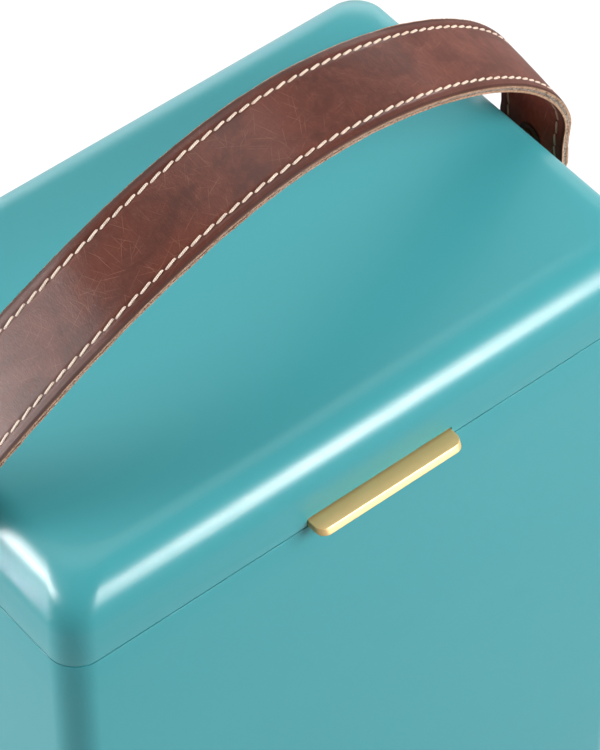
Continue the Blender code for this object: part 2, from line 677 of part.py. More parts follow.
def build_hinge(hand, center_x, finishes, case_shell, case_foam, lid_shell, lid_foam):
    half = HINGE_LENGTH / 2
    lid_half = LID_KNUCKLE_LENGTH / 2
    axis_point = (center_x, *HINGE_AXIS[1:])
    swing = HINGE_BARREL_RADIUS + FIT
    near = REAR + FIT
    bore_radius = HINGE_PIN_RADIUS + FIT

    case_leaf = leaf_plate(f"hinge_case_leaf_{hand}", center_x, SEAM - LEAF_CASE_DROP, SEAM, finishes["hinge"])
    relief = lid_half + FIT + BARREL_STEP
    relief_low = (center_x - relief, near - CUT_OVERRUN, SEAM - swing)
    relief_high = (center_x + relief, near + LEAF_THICKNESS + CUT_OVERRUN, SEAM + CUT_OVERRUN)
    combine(case_leaf, box(f"hinge_case_relief_{hand}", relief_low, relief_high), "DIFFERENCE")
    for side, start, end in (("a", -half, -lid_half - FIT), ("b", lid_half + FIT, half)):
        name = f"hinge_case_knuckle_{side}_{hand}"
        knuckle = rod(name, HINGE_BARREL_RADIUS, start, end, "X", axis_point, ROUND_SIDES)
        combine(case_leaf, knuckle, "UNION")

    lid_leaf = leaf_plate(f"hinge_lid_leaf_{hand}", center_x, SEAM, SEAM + LEAF_LID_RISE, finishes["hinge"])
    relief = lid_half - BARREL_STEP
    for side, start, end in (("a", -half - CUT_OVERRUN, -relief), ("b", relief, half + CUT_OVERRUN)):
        relief_low = (center_x + start, near - CUT_OVERRUN, SEAM - CUT_OVERRUN)
        relief_high = (center_x + end, near + LEAF_THICKNESS + CUT_OVERRUN, SEAM + swing)
        combine(lid_leaf, box(f"hinge_lid_relief_{side}_{hand}", relief_low, relief_high), "DIFFERENCE")
    name = f"hinge_lid_knuckle_{hand}"
    knuckle = rod(name, HINGE_BARREL_RADIUS, -lid_half, lid_half, "X", axis_point, ROUND_SIDES)
    combine(lid_leaf, knuckle, "UNION")
    for leaf in (case_leaf, lid_leaf):
        drill(leaf, bore_radius, -half - CUT_OVERRUN, half + CUT_OVERRUN, "X", axis_point)

    head = HINGE_PIN_HEAD_RADIUS
    profile = [
        (0, -half - FIT - HINGE_PIN_HEAD_HEIGHT),
        (head / 2, -half - FIT - HINGE_PIN_HEAD_HEIGHT),
        (head, -half - FIT - HINGE_PIN_HEAD_HEIGHT / 2),
        (head, -half - FIT),
        (HINGE_PIN_RADIUS, -half - FIT),
        (HINGE_PIN_RADIUS, half + FIT),
        (0, half + FIT),
    ]
    pin = revolve(f"hinge_pin_{hand}", profile, finishes["steel"], SMALL_ROUND_SIDES)
    lay_along(pin, "X", axis_point)

    seat_y = near + LEAF_THICKNESS + FIT
    for number, x in enumerate((-HINGE_SCREW_SPACING / 2, HINGE_SCREW_SPACING / 2), 1):
        seat = (center_x + x, seat_y, SEAM - CASE_SCREW_DROP)
        build_screw(f"hinge_case_screw_{hand}_{number}", seat, "Y", finishes, (case_leaf, case_shell, case_foam))
        seat = (center_x + x, seat_y, SEAM + LID_SCREW_RISE)
        build_screw(f"hinge_lid_screw_{hand}_{number}", seat, "Y", finishes, (lid_leaf, lid_shell, lid_foam))
    place_on(lid_leaf, axis_point)


def cubic(controls, share):
    """Point of a cubic curve at a share of its run."""
    left_over = 1 - share
    weights = (left_over**3, 3 * share * left_over**2, 3 * share**2 * left_over, share**3)
    return sum((weight * control for weight, control in zip(weights, controls)), Vector((0, 0)))


def strap_line():
    """Points (x, height, nx, nheight) of the strap's outer face from the left end to the right, with normals.

    Heights are over the studs' axis. Each half runs straight up past its stud, bends out in a short root curve
    and follows one long curve to the crown.
    """
    half_span = STRAP_HALF_SPAN
    controls = [
        Vector((half_span, STRAP_STRAIGHT)),
        Vector((half_span + STRAP_BULGE, STRAP_STRAIGHT + STRAP_SIDE_PULL)),
        Vector((STRAP_CROWN_PULL_SHARE * half_span, STRAP_CROWN)),
        Vector((0, STRAP_CROWN)),
    ]
    root_end = cubic(controls, STRAP_ROOT_SHARE)
    heading = (cubic(controls, STRAP_ROOT_SHARE * 1.01) - root_end).normalized()
    root = [
        Vector((half_span, STRAP_ROOT_START)),
        Vector((half_span, STRAP_ROOT_START + STRAP_ROOT_PULL)),
        root_end - STRAP_ROOT_PULL * heading,
        root_end,
    ]
    heights = []
    for step in range(STRAP_END_STEPS):
        angle = math.pi / 2 * (step + 1 / 2) / STRAP_END_STEPS
        heights.append(-STRAP_WIDTH / 2 * math.cos(angle))
    right = [(half_span, height) for height in heights] + [(half_span, 0)]
    right += [tuple(cubic(root, step / STRAP_ROOT_STEPS)) for step in range(STRAP_ROOT_STEPS)]
    for step in range(STRAP_SIDE_STEPS + 1):
        share = STRAP_ROOT_SHARE + (1 - STRAP_ROOT_SHARE) * step / STRAP_SIDE_STEPS
        right.append(tuple(cubic(controls, share)))
    points = [(-x, height) for x, height in right] + [(x, height) for x, height in reversed(right[:-1])]
    line = []
    for index, (x, height) in enumerate(points):
        before = points[max(index - 1, 0)]
        after = points[min(index + 1, len(points) - 1)]
        along = Vector((after[0] - before[0], after[1] - before[1])).normalized()
        line.append((x, height, -along.y, along.x))
    return line


def strap_half_width(height):
    half = STRAP_WIDTH / 2
    if height >= 0:
        return half
    return math.sqrt(max(half**2 - height**2, 0))


def strap_shift(x, height):
    """How far the soft strap sits askew: to the front on the left, to the rear on the right, not at its studs."""
    if height <= 0:
        return 0
    return STRAP_ASKEW_SHARE * x * (1 - math.exp(-height / STRAP_ASKEW_HEIGHT))


def strap_layer(name, depth, thickness, finish):
    """One layer of the strap, from depth under the outer face inward, in the frame of the studs' axis."""
    rings = []
    for x, height, normal_x, normal_height in strap_line():
        half = strap_half_width(height)
        shift = strap_shift(x, height)
        ring = []
        for inward, side in ((depth, -1), (depth, 1), (depth + thickness, 1), (depth + thickness, -1)):
            place = (x - inward * normal_x, shift + side * half, height - inward * normal_height)
            ring.append(place)
        rings.append(ring)
    layer = loft(name, rings, finish)
    reach = STRAP_HALF_SPAN + CUT_OVERRUN
    hole = STUD_NECK_RADIUS + FIT
    cutter = rod(f"{name}_hole", hole, -reach, reach, "X", STUD_AXIS)
    layer.location = STUD_AXIS
    layer.rotation_euler.x = math.radians(STRAP_LEAN_DEG)
    combine(layer, cutter, "DIFFERENCE")
    return layer


def build_strap(finishes):
    core_depth = FACE_THICKNESS + FIT
    lining_depth = core_depth + CORE_THICKNESS + FIT
    strap_layer("strap_face", 0, FACE_THICKNESS, finishes["leather"])
    strap_layer("strap_core", core_depth, CORE_THICKNESS, finishes["core"])
    strap_layer("strap_lining", lining_depth, LINING_THICKNESS, finishes["leather"])


def build_stud(hand, direction, finishes, lid_shell, lid_foam):
    """Post through the lid's side wall, its nut inside, a washer against the strap and a domed cap outside."""
    outer_face = STRAP_HALF_SPAN
    washer_outer = outer_face - STRAP_THICKNESS - FIT
    washer_inner = washer_outer - WASHER_THICKNESS
    shoulder_end = washer_inner - FIT
    cap_seat = outer_face + FIT
    neck_end = cap_seat + STUD_CAP_BORE_DEPTH - FIT
    thread_end = SIDE - SHELL_WALL - FIT - STUD_NUT_THICKNESS - FIT
    flange_start = SIDE + FIT
    axis = "X" if direction > 0 else "-X"
    profile = [
        (0, thread_end),
        (STUD_THREAD_RADIUS, thread_end),
        (STUD_THREAD_RADIUS, flange_start),
        (STUD_FLANGE_RADIUS, flange_start),
        (STUD_FLANGE_RADIUS, flange_start + STUD_FLANGE_THICKNESS / 2),
        (STUD_SHOULDER_RADIUS, flange_start + STUD_FLANGE_THICKNESS),
        (STUD_SHOULDER_RADIUS, shoulder_end),
        (STUD_NECK_RADIUS, shoulder_end),
        (STUD_NECK_RADIUS, neck_end),
        (0, neck_end),
    ]
    lay_along(revolve(f"stud_post_{hand}", profile, finishes["gold"]), axis, STUD_AXIS)

    cap_bore = STUD_NECK_RADIUS + FIT
    bore_end = cap_seat + STUD_CAP_BORE_DEPTH
    profile = [(0, bore_end), (cap_bore, bore_end), (cap_bore, cap_seat), (STUD_CAP_RADIUS, cap_seat)]
    rim = STUD_CAP_HEIGHT / 3
    for step in range(FILLET_STEPS):
        angle = math.pi / 2 * step / FILLET_STEPS
        height = cap_seat + rim + (STUD_CAP_HEIGHT - rim) * math.sin(angle)
        profile.append((STUD_CAP_RADIUS * math.cos(angle), height))
    profile.append((0, cap_seat + STUD_CAP_HEIGHT))
    lay_along(revolve(f"stud_cap_{hand}", profile, finishes["gold"]), axis, STUD_AXIS)

    washer_bore = STUD_NECK_RADIUS + FIT
    profile = [
        (washer_bore, washer_inner),
        (WASHER_RADIUS, washer_inner),
        (WASHER_RADIUS, washer_outer),
        (washer_bore, washer_outer),
    ]
    lay_along(revolve(f"strap_washer_{hand}", profile, finishes["leather"]), axis, STUD_AXIS)

    nut_bore = STUD_THREAD_RADIUS + FIT
    nut_outer = SIDE - SHELL_WALL - FIT
    nut_inner = nut_outer - STUD_NUT_THICKNESS
    hexagon = 6
    nut = revolve(
        f"stud_nut_{hand}",
        [(0, nut_inner), (STUD_NUT_RADIUS, nut_inner), (STUD_NUT_RADIUS, nut_outer), (0, nut_outer)],
        finishes["steel"],
        hexagon,
    )
    lay_along(nut, axis, STUD_AXIS)
    drill(nut, nut_bore, nut_inner - CUT_OVERRUN, nut_outer + CUT_OVERRUN, axis, STUD_AXIS)
    drill(lid_shell, STUD_THREAD_RADIUS + FIT, nut_outer, SIDE + CUT_OVERRUN, axis, STUD_AXIS)
    drill(lid_foam, STUD_NUT_RADIUS + FIT, thread_end - FIT, SIDE, axis, STUD_AXIS)


def build():
    clear_scene()
    finishes = {
        "shell": material("teal_gloss", (0.085, 0.38, 0.42), 0.18),
        "liner": material("liner_white", (0.82, 0.82, 0.79), 0.4),
        "foam": material("foam", (0.85, 0.78, 0.55), 0.9),
        "rubber": material("rubber", (0.03, 0.03, 0.03), 0.8),
        "seal": material("seal", (0.10, 0.10, 0.10), 0.7),
        "gold": material("gold", (0.62, 0.47, 0.22), 0.3, 1.0),
        "steel": material("steel", (0.55, 0.55, 0.55), 0.35, 1.0),
        "hinge": material("hinge_gold", (0.60, 0.45, 0.21), 0.35, 1.0),
        "leather": material("leather", (0.16, 0.045, 0.025), 0.5),
        "core": material("leather_core", (0.45, 0.32, 0.22), 0.8),
    }
    case_shell, case_foam, case_liner = build_case(finishes)
    build_feet(finishes, case_shell, case_foam)
    lid_shell, lid_liner, lid_foam = build_lid(finishes)
    build_gasket(finishes)
    build_latch(finishes, lid_shell, lid_liner, lid_foam, case_liner, case_foam)
    build_spring(finishes)
    hinge_x = HINGE_SPACING_SHARE * SIDE
    for hand, x in (("left", -hinge_x), ("right", hinge_x)):
        build_hinge(hand, x, finishes, case_shell, case_foam, lid_shell, lid_foam)
    build_strap(finishes)
    for hand, direction in (("left", -1), ("right", 1)):
        build_stud(hand, direction, finishes, lid_shell, lid_foam)


build()
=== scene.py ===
"""Cooler box with a leather carrying strap, dressed for its photograph.

Metres, +Z up, the front toward -Y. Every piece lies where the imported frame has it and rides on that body.
"""

import math

import bmesh
import bpy
from mathutils import Matrix, Vector, noise


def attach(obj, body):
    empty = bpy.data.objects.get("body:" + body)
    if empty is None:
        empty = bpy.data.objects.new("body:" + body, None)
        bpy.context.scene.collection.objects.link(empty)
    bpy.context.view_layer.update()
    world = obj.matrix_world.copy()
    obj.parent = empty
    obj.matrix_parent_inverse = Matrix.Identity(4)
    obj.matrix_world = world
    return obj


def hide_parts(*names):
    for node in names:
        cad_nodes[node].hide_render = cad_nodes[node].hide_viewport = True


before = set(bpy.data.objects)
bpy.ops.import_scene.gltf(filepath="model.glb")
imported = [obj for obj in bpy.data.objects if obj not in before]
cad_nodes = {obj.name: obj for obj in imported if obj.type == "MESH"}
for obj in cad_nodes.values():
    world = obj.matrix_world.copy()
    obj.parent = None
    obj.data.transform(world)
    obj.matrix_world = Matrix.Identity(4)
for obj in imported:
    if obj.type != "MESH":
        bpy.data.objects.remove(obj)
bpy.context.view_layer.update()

# The camera stands high over the front left corner with a long lens and looks steeply down at the lid.
# Its place was fitted to the seam, the lid's far corner and the tab in the photograph.
CAMERA_PLACE = Vector((-0.673, -0.8655, 1.619))
CAMERA_PITCH = math.radians(49.78)
CAMERA_YAW = math.radians(39.54)
CAMERA_ROLL = math.radians(0.41)
CAMERA_LENS = 189.6

look = Vector((
    math.sin(CAMERA_YAW) * math.cos(CAMERA_PITCH),
    math.cos(CAMERA_YAW) * math.cos(CAMERA_PITCH),
    -math.sin(CAMERA_PITCH),
))
level_right = Vector((math.cos(CAMERA_YAW), -math.sin(CAMERA_YAW), 0))
level_up = level_right.cross(look)
camera_right = math.cos(CAMERA_ROLL) * level_right + math.sin(CAMERA_ROLL) * level_up
camera_up = math.cos(CAMERA_ROLL) * level_up - math.sin(CAMERA_ROLL) * level_right
camera_data = bpy.data.cameras.new("camera")
camera_data.lens = CAMERA_LENS
camera = bpy.data.objects.new("camera", camera_data)
bpy.context.scene.collection.objects.link(camera)
camera_turn = Matrix((camera_right, camera_up, -look)).transposed().to_4x4()
camera.matrix_world = Matrix.Translation(CAMERA_PLACE) @ camera_turn
bpy.context.scene.camera = camera
bpy.context.scene.view_settings.view_transform = "Standard"


class Amount:
    """A value on a surface. Arithmetic with numbers or other amounts adds Math nodes."""

    def __init__(self, recipe, socket):
        self.recipe = recipe
        self.socket = socket

    def math(self, operation, *terms):
        return self.recipe.node("ShaderNodeMath", {"operation": operation}, dict(enumerate(terms)))

    def __add__(self, other):
        return self.math("ADD", self, other)

    def __radd__(self, other):
        return self.math("ADD", other, self)

    def __sub__(self, other):
        return self.math("SUBTRACT", self, other)

    def __rsub__(self, other):
        return self.math("SUBTRACT", other, self)

    def __mul__(self, other):
        return self.math("MULTIPLY", self, other)

    def __rmul__(self, other):
        return self.math("MULTIPLY", other, self)

    def least(self, other):
        return self.math("MINIMUM", self, other)

    def most(self, other):
        return self.math("MAXIMUM", self, other)

    def size(self):
        return self.math("ABSOLUTE", self)


class Recipe:
    """The nodes of one material or of the world."""

    def __init__(self, tree):
        self.tree = tree

    def node(self, kind, settings=None, sockets=None, output=0):
        """A node of a kind, its settings first, then its sockets' values or links. Gives one output."""
        made = self.tree.nodes.new(kind)
        for name, value in (settings or {}).items():
            if name == "stops":
                stops = made.color_ramp.elements
                while len(stops) < len(value):
                    stops.new(1)
                for stop, (position, color) in zip(stops, value):
                    stop.position = position
                    stop.color = color
            else:
                setattr(made, name, value)
        for name, value in (sockets or {}).items():
            if isinstance(value, Amount):
                self.tree.links.new(value.socket, made.inputs[name])
            else:
                made.inputs[name].default_value = value
        return Amount(self, made.outputs[output])

    def light_path(self, ray):
        return self.node("ShaderNodeLightPath", output=ray)

    def seen_directly(self):
        """1 for rays from the camera, and for those that a gloss or a glass sends on, else 0."""
        rays = self.light_path("Is Camera Ray") + self.light_path("Is Glossy Ray")
        return (rays + self.light_path("Is Transmission Ray")).least(1)


class Finish(Recipe):
    """A material: a Principled shader and what feeds it, in the coordinates of the piece."""

    def __init__(self, name, **constants):
        self.material = bpy.data.materials.new(name)
        self.material.use_nodes = True
        super().__init__(self.material.node_tree)
        self.shader = self.tree.nodes["Principled BSDF"]
        for socket, value in constants.items():
            self.shader.inputs[socket.replace("_", " ")].default_value = value

    def place(self):
        return self.node("ShaderNodeTexCoord", output="Object")

    def stretched(self, vector, scale, turn=(0, 0, 0)):
        return self.node("ShaderNodeMapping", None, {"Vector": vector, "Scale": scale, "Rotation": turn})

    def cloud(self, vector, scale, detail=2.0, roughness=0.5, distortion=0.0):
        """Noise from 0 to 1 with its middle at 0.5."""
        sockets = {"Vector": vector, "Scale": scale, "Detail": detail, "Roughness": roughness}
        sockets["Distortion"] = distortion
        return self.node("ShaderNodeTexNoise", None, sockets)

    def cells(self, vector, scale, feature="F1"):
        sockets = {"Vector": vector, "Scale": scale}
        return self.node("ShaderNodeTexVoronoi", {"feature": feature}, sockets, "Distance")

    def between(self, value, low, high):
        """0 below low and 1 above high, with a smooth rise. Falls where high is below low."""
        if high < low:
            return 1 - self.between(value, high, low)
        sockets = {"Value": value, "From Min": low, "From Max": high}
        return self.node("ShaderNodeMapRange", {"interpolation_type": "SMOOTHSTEP"}, sockets)

    def shade(self, factor, first, second):
        """A colour from first to second."""
        ends = [color if isinstance(color, Amount) else (*color, 1.0) for color in (first, second)]
        return self.node("ShaderNodeMix", {"data_type": "RGBA"}, {0: factor, 6: ends[0], 7: ends[1]}, 2)

    def part_of(self, vector, axis):
        return self.node("ShaderNodeSeparateXYZ", None, {0: vector}, axis)

    def relief(self, height, depth, under=None):
        """A normal from a height between 0 and 1 that stands for a real depth in metres."""
        sockets = {"Height": height, "Distance": depth, "Strength": 1.0}
        if under is not None:
            sockets["Normal"] = under
        return self.node("ShaderNodeBump", None, sockets)

    def feed(self, **links):
        for socket, value in links.items():
            self.tree.links.new(value.socket, self.shader.inputs[socket.replace("_", " ")])
        return self.material


# The studio is an even pale room with four soft boxes: one to the front right, two to the rear left, and a
# broad high one for the lid. Cards that light nothing themselves draw the bright lines on the rolled edges.
ROOM_LIGHT = 0.18
LAMP_AIM = Vector((0, 0, 0.364))
SHEET_GAP = 0.01

room = bpy.data.worlds.new("studio_room")
room.use_nodes = True
bpy.context.scene.world = room
room_recipe = Recipe(room.node_tree)
background = room.node_tree.nodes["Background"]
background.inputs["Color"].default_value = (1, 1, 1, 1)
room_strength = ROOM_LIGHT + (1 - ROOM_LIGHT) * room_recipe.seen_directly()
room.node_tree.links.new(room_strength.socket, background.inputs["Strength"])


def soft_box(
    name, azimuth, elevation, width, height, radiance, reach=2.6, fade=1, lights=True, mirrored=True
):
    """A rectangular soft box at a reach in metres from the lid, which it faces, sized in degrees from there.

    The azimuth is from +X, anticlockwise. With a fade above 1, nested sheets make it dimmer toward its edges.
    A card lights nothing and is only mirrored. A box that isn't mirrored only lights.
    """
    turn = math.radians(azimuth)
    rise = math.radians(elevation)
    outward = Vector((math.cos(rise) * math.cos(turn), math.cos(rise) * math.sin(turn), math.sin(rise)))
    for sheet in range(fade):
        share = (sheet + 1) / fade
        distance = reach + SHEET_GAP * sheet
        data = bpy.data.lights.new(f"{name}_{sheet + 1}", "AREA")
        data.shape = "RECTANGLE"
        data.size = 2 * distance * math.tan(math.radians(width * share / 2))
        data.size_y = 2 * distance * math.tan(math.radians(height * share / 2))
        data.energy = math.pi * data.size * data.size_y * radiance / fade
        data.cycles.use_multiple_importance_sampling = lights
        lamp = bpy.data.objects.new(data.name, data)
        lamp.location = LAMP_AIM + distance * outward
        lamp.rotation_mode = "QUATERNION"
        lamp.rotation_quaternion = outward.to_track_quat("Z", "Y")
        lamp.visible_camera = False
        lamp.visible_diffuse = lights
        lamp.visible_glossy = mirrored
        bpy.context.scene.collection.objects.link(lamp)


soft_box("front_soft_box", -50, 25, 40, 28, 11.2, mirrored=False)
soft_box("front_bright_card", -65, 20, 17, 34, 88, fade=2, lights=False)
soft_box("rear_soft_box", 141, 35, 20, 14, 6.4, mirrored=False)
soft_box("rear_bright_card", 178, 26, 27, 13, 92, reach=0.325, fade=2, lights=False)
soft_box("strap_card", 155.5, 37, 20, 16, 46, reach=0.44, lights=False)
soft_box("left_soft_box", 146, 12, 52, 28, 6.5, mirrored=False)
soft_box("left_pale_card", 151, -3, 28, 38, 16, reach=0.9, lights=False)
soft_box("near_corner_card", 58, 68, 40, 24, 4, lights=False)
soft_box("high_soft_box", 52, 52, 60, 50, 1.5, mirrored=False)
soft_box("rear_low_card", 62, 8, 70, 30, 3.0, lights=False)

# The floor is a sheet of white paper, wide enough to fill every view. Seen directly it is white wherever the
# light is open, whiter still far from the box, and it keeps the shadow that the box throws round its feet.
FLOOR_SIZE = 30.0
FLOOR_GLOW = 0.70
WHITENING = (0.9, 3.5)

floor_builder = bmesh.new()
bmesh.ops.create_grid(floor_builder, x_segments=2, y_segments=2, size=FLOOR_SIZE / 2)
floor_mesh = bpy.data.meshes.new("paper_floor")
floor_builder.to_mesh(floor_mesh)
floor_builder.free()
paper_floor = bpy.data.objects.new("paper_floor", floor_mesh)
bpy.context.scene.collection.objects.link(paper_floor)
paper_grey = (0.3, 0.3, 0.3, 1)
paper = Finish(
    "white_paper", Base_Color=paper_grey, Roughness=0.9, Specular_IOR_Level=0.1, Emission_Strength=1
)
paper_distance = paper.node("ShaderNodeVectorMath", {"operation": "LENGTH"}, {0: paper.place()}, "Value")
far_range = {"From Min": WHITENING[0], "From Max": WHITENING[1], "To Min": FLOOR_GLOW}
far_range["Value"] = paper_distance
paper_glow = paper.seen_directly() * paper.node("ShaderNodeMapRange", None, far_range)
floor_mesh.materials.append(paper.feed(Emission_Color=paper_glow))


# The case is one hollow moulding in glossy teal plastic with a round bottom edge. Its open top ends in a thin
# rim, and the lid stops just above it. FIT is the air between pieces that would touch.
BODY_LENGTH = 0.320
BODY_DEPTH = 0.205
FOOT_HEIGHT = 0.006
FIT = 0.0003
SEAM = 0.350
LID_TOP = 0.390
CORNER_RADIUS = 0.014
SEAM_GAP = 0.0009
SHELL_WALL = 0.0025
BASE_FILLET = 0.010
RIM_ROUND = 0.00015
WALL_HEIGHTS = (0.07, 0.16, 0.25, 0.325)
CORNER_STEPS = 22
LEAST_RADIUS = 0.0006
SIDE = BODY_LENGTH / 2
REAR = BODY_DEPTH / 2
FRONT = -REAR
CASE_TOP = SEAM - SEAM_GAP / 2


def gloss_plastic():
    """Teal moulded plastic: a deep glossy skin with faint orange peel, handling haze and a few hairlines."""
    finish = Finish(
        "teal_gloss_plastic", Specular_IOR_Level=0.18, Coat_Weight=0.04, Coat_Roughness=0.10, IOR=1.5
    )
    place = finish.place()
    drift = finish.cloud(place, 7, 2, 0.5)
    fleck = finish.cloud(place, 900, 2, 0.6)
    haze = finish.between(finish.cloud(place, 26, 4, 0.62, 0.6), 0.42, 0.72)
    hairs = thin_lines(finish, place, ((0.3, 0.2, 0.4), (1.0, 0.7, -0.6)), 60, 2600, 0.012)
    tone = finish.shade(drift, (0.048, 0.326, 0.361), (0.055, 0.342, 0.378))
    tone = finish.shade(fleck * 0.08, tone, (0.05, 0.37, 0.41))
    gloss = 0.31 + haze * 0.03 + fleck * 0.02 + hairs * 0.04
    peel = finish.relief(finish.cloud(place, 240, 1, 0.4), 0.000014)
    skin = finish.relief(fleck, 0.0000025, peel)
    skin = finish.relief(hairs, 0.0000012, skin)
    return finish.feed(Base_Color=tone, Roughness=gloss, Normal=skin)


def thin_lines(finish, place, turns, length_scale, across_scale, half_width):
    """Sparse fine lines, one set for each turn: 1 on a line, else 0."""
    lines = None
    for number, turn in enumerate(turns):
        drawn = finish.stretched(place, (length_scale, across_scale, across_scale * 0.7), turn)
        field = finish.cloud(drawn, 0.35 + 0.07 * number, 1, 0.4, 0.3)
        line = finish.between((field - 0.5).size(), half_width, 0)
        worn = finish.between(finish.cloud(place, 40 + 13 * number, 2, 0.5), 0.52, 0.66)
        line = line * worn
        lines = line if lines is None else lines.most(line)
    return lines


def rounded_rectangle(half_x, half_y, radius, steps):
    """Plan points of a rectangle with round corners, anticlockwise from +X."""
    points = []
    for corner, (sign_x, sign_y) in enumerate(((1, 1), (-1, 1), (-1, -1), (1, -1))):
        center_x = sign_x * (half_x - radius)
        center_y = sign_y * (half_y - radius)
        for step in range(steps + 1):
            angle = math.pi / 2 * (corner + step / steps)
            points.append((center_x + radius * math.cos(angle), center_y + radius * math.sin(angle)))
    return points


def body_ring(inset, height, radius=None):
    """Plan ring of the body, moved inward by inset, with the corner radius less the inset unless given."""
    if radius is None:
        radius = max(CORNER_RADIUS - inset, LEAST_RADIUS)
    return [(x, y, height) for x, y in rounded_rectangle(SIDE - inset, REAR - inset, radius, CORNER_STEPS)]


def rolled(radius, steps, power=2.0):
    """(inset, drop) pairs of a rolled edge, from its flat face to its wall. Power 2 is a quarter circle."""
    pairs = []
    for step in range(steps + 1):
        angle = math.pi / 2 * step / steps
        run = math.sin(angle) ** (2 / power)
        rise = max(math.cos(angle), 0) ** (2 / power)
        pairs.append((radius * (1 - run), radius * (1 - rise)))
    return pairs


def piece_from(name, builder, finishes, sharp=35):
    """An object from a bmesh, with outward normals, smooth round sides and its finishes as slots."""
    bmesh.ops.recalc_face_normals(builder, faces=builder.faces)
    mesh = bpy.data.meshes.new(name)
    builder.to_mesh(mesh)
    builder.free()
    for finish in finishes:
        mesh.materials.append(finish)
    mesh.shade_smooth()
    mesh.set_sharp_from_angle(angle=math.radians(sharp))
    piece = bpy.data.objects.new(name, mesh)
    bpy.context.scene.collection.objects.link(piece)
    return piece


def bridge(builder, lower, upper):
    count = len(lower)
    faces = []
    for index in range(count):
        following = (index + 1) % count
        corners = (lower[index], lower[following], upper[following], upper[index])
        faces.append(builder.faces.new(corners))
    return faces


def join_rows(builder, rows, closed=False):
    """Rows of equal count bridged in order. The ends are capped, or bridged to each other if closed."""
    sides = [bridge(builder, lower, upper) for lower, upper in zip(rows, rows[1:])]
    if closed:
        return sides, bridge(builder, rows[-1], rows[0])
    return sides, [builder.faces.new(rows[0]), builder.faces.new(rows[-1])]


def loft_into(builder, rings, closed=False):
    rows = [[builder.verts.new(point) for point in ring] for ring in rings]
    return join_rows(builder, rows, closed)


def lofted(name, rings, finishes, closed=False):
    builder = bmesh.new()
    loft_into(builder, rings, closed)
    return piece_from(name, builder, finishes)


def fix(piece, body, slot_name, *nodes):
    """Puts a piece on its body in place of the CAD nodes. Its slot name is not used."""
    if nodes:
        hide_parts(*nodes)
    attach(piece, body)
    return piece


teal = gloss_plastic()
inner_round = BASE_FILLET - SHELL_WALL
case_rings = [body_ring(inset, FOOT_HEIGHT + drop) for inset, drop in rolled(BASE_FILLET, 12)]
case_rings += [body_ring(0, height) for height in WALL_HEIGHTS]
case_rings += [body_ring(inset, CASE_TOP - drop) for inset, drop in reversed(rolled(RIM_ROUND, 5))]
case_rings += [body_ring(SHELL_WALL - inset, CASE_TOP - drop) for inset, drop in rolled(RIM_ROUND, 3)]
case_rings += [
    body_ring(SHELL_WALL + inset, FOOT_HEIGHT + SHELL_WALL + drop, CORNER_RADIUS - SHELL_WALL - inset)
    for inset, drop in reversed(rolled(inner_round, 4))
]
fix(lofted("moulded_case", case_rings, [teal]), "case", "shell", "case_shell")

# The inner tub is vacuum-formed from white food-safe sheet. It hangs from a flange on top of the insulation,
# and a slot in the front of the flange lets the latch hook pass.
CAVITY_INSET = 0.0276
CAVITY_CORNER_RADIUS = 0.018
CAVITY_FLOOR_FILLET = 0.012
LINER_WALL = 0.002
LINER_EDGE_INSET = 0.0028
RIM = SEAM - 0.003
CAVITY_FLOOR = FOOT_HEIGHT + CAVITY_INSET
RIM_EDGE_RADIUS = 0.0015
FLANGE_BREAK = 0.0004
HOOK_SLOT = ((-0.0223, FRONT + 0.007, SEAM - 0.016), (0.0223, -0.0874, SEAM))
CUT_CORNER = 0.0008


def liner_plastic():
    """White satin sheet: soft forming haze, faint chill ripples, and the scuffs of things put in it."""
    finish = Finish("white_liner_plastic", Specular_IOR_Level=0.45, IOR=1.49)
    place = finish.place()
    drift = finish.cloud(place, 11, 3, 0.55)
    grain = finish.cloud(place, 1400, 2, 0.6)
    scuffs = thin_lines(finish, place, ((0.2, 0.9, 0.3), (0.9, 0.1, 1.2)), 45, 1500, 0.02)
    tone = finish.shade(drift, (0.76, 0.765, 0.745), (0.83, 0.83, 0.805))
    tone = finish.shade(scuffs * 0.35, tone, (0.62, 0.62, 0.60))
    gloss = 0.36 + drift * 0.10 + scuffs * 0.15
    skin = finish.relief(finish.cloud(place, 60, 1, 0.4), 0.00006)
    skin = finish.relief(grain, 0.000010, skin)
    return finish.feed(Base_Color=tone, Roughness=gloss, Normal=skin)


def cut_out(piece, low, high):
    """Takes a block with small round upright edges, seen along Y, out of a piece."""
    middle_x, middle_z = (high[0] + low[0]) / 2, (high[2] + low[2]) / 2
    outline = rounded_rectangle((high[0] - low[0]) / 2, (high[2] - low[2]) / 2, CUT_CORNER, 5)
    rings = [[(middle_x + x, y, middle_z + z) for x, z in outline] for y in (low[1], high[1])]
    cutter = lofted(f"{piece.name}_cutter", rings, [])
    boolean = piece.modifiers.new("cut", "BOOLEAN")
    boolean.operation = "DIFFERENCE"
    boolean.solver = "EXACT"
    boolean.object = cutter
    bpy.context.view_layer.update()
    evaluated = piece.evaluated_get(bpy.context.evaluated_depsgraph_get())
    cut_mesh = bpy.data.meshes.new_from_object(evaluated)
    piece.modifiers.clear()
    piece.data = cut_mesh
    cut_mesh.set_sharp_from_angle(angle=math.radians(35))
    bpy.data.objects.remove(cutter, do_unlink=True)
    return piece


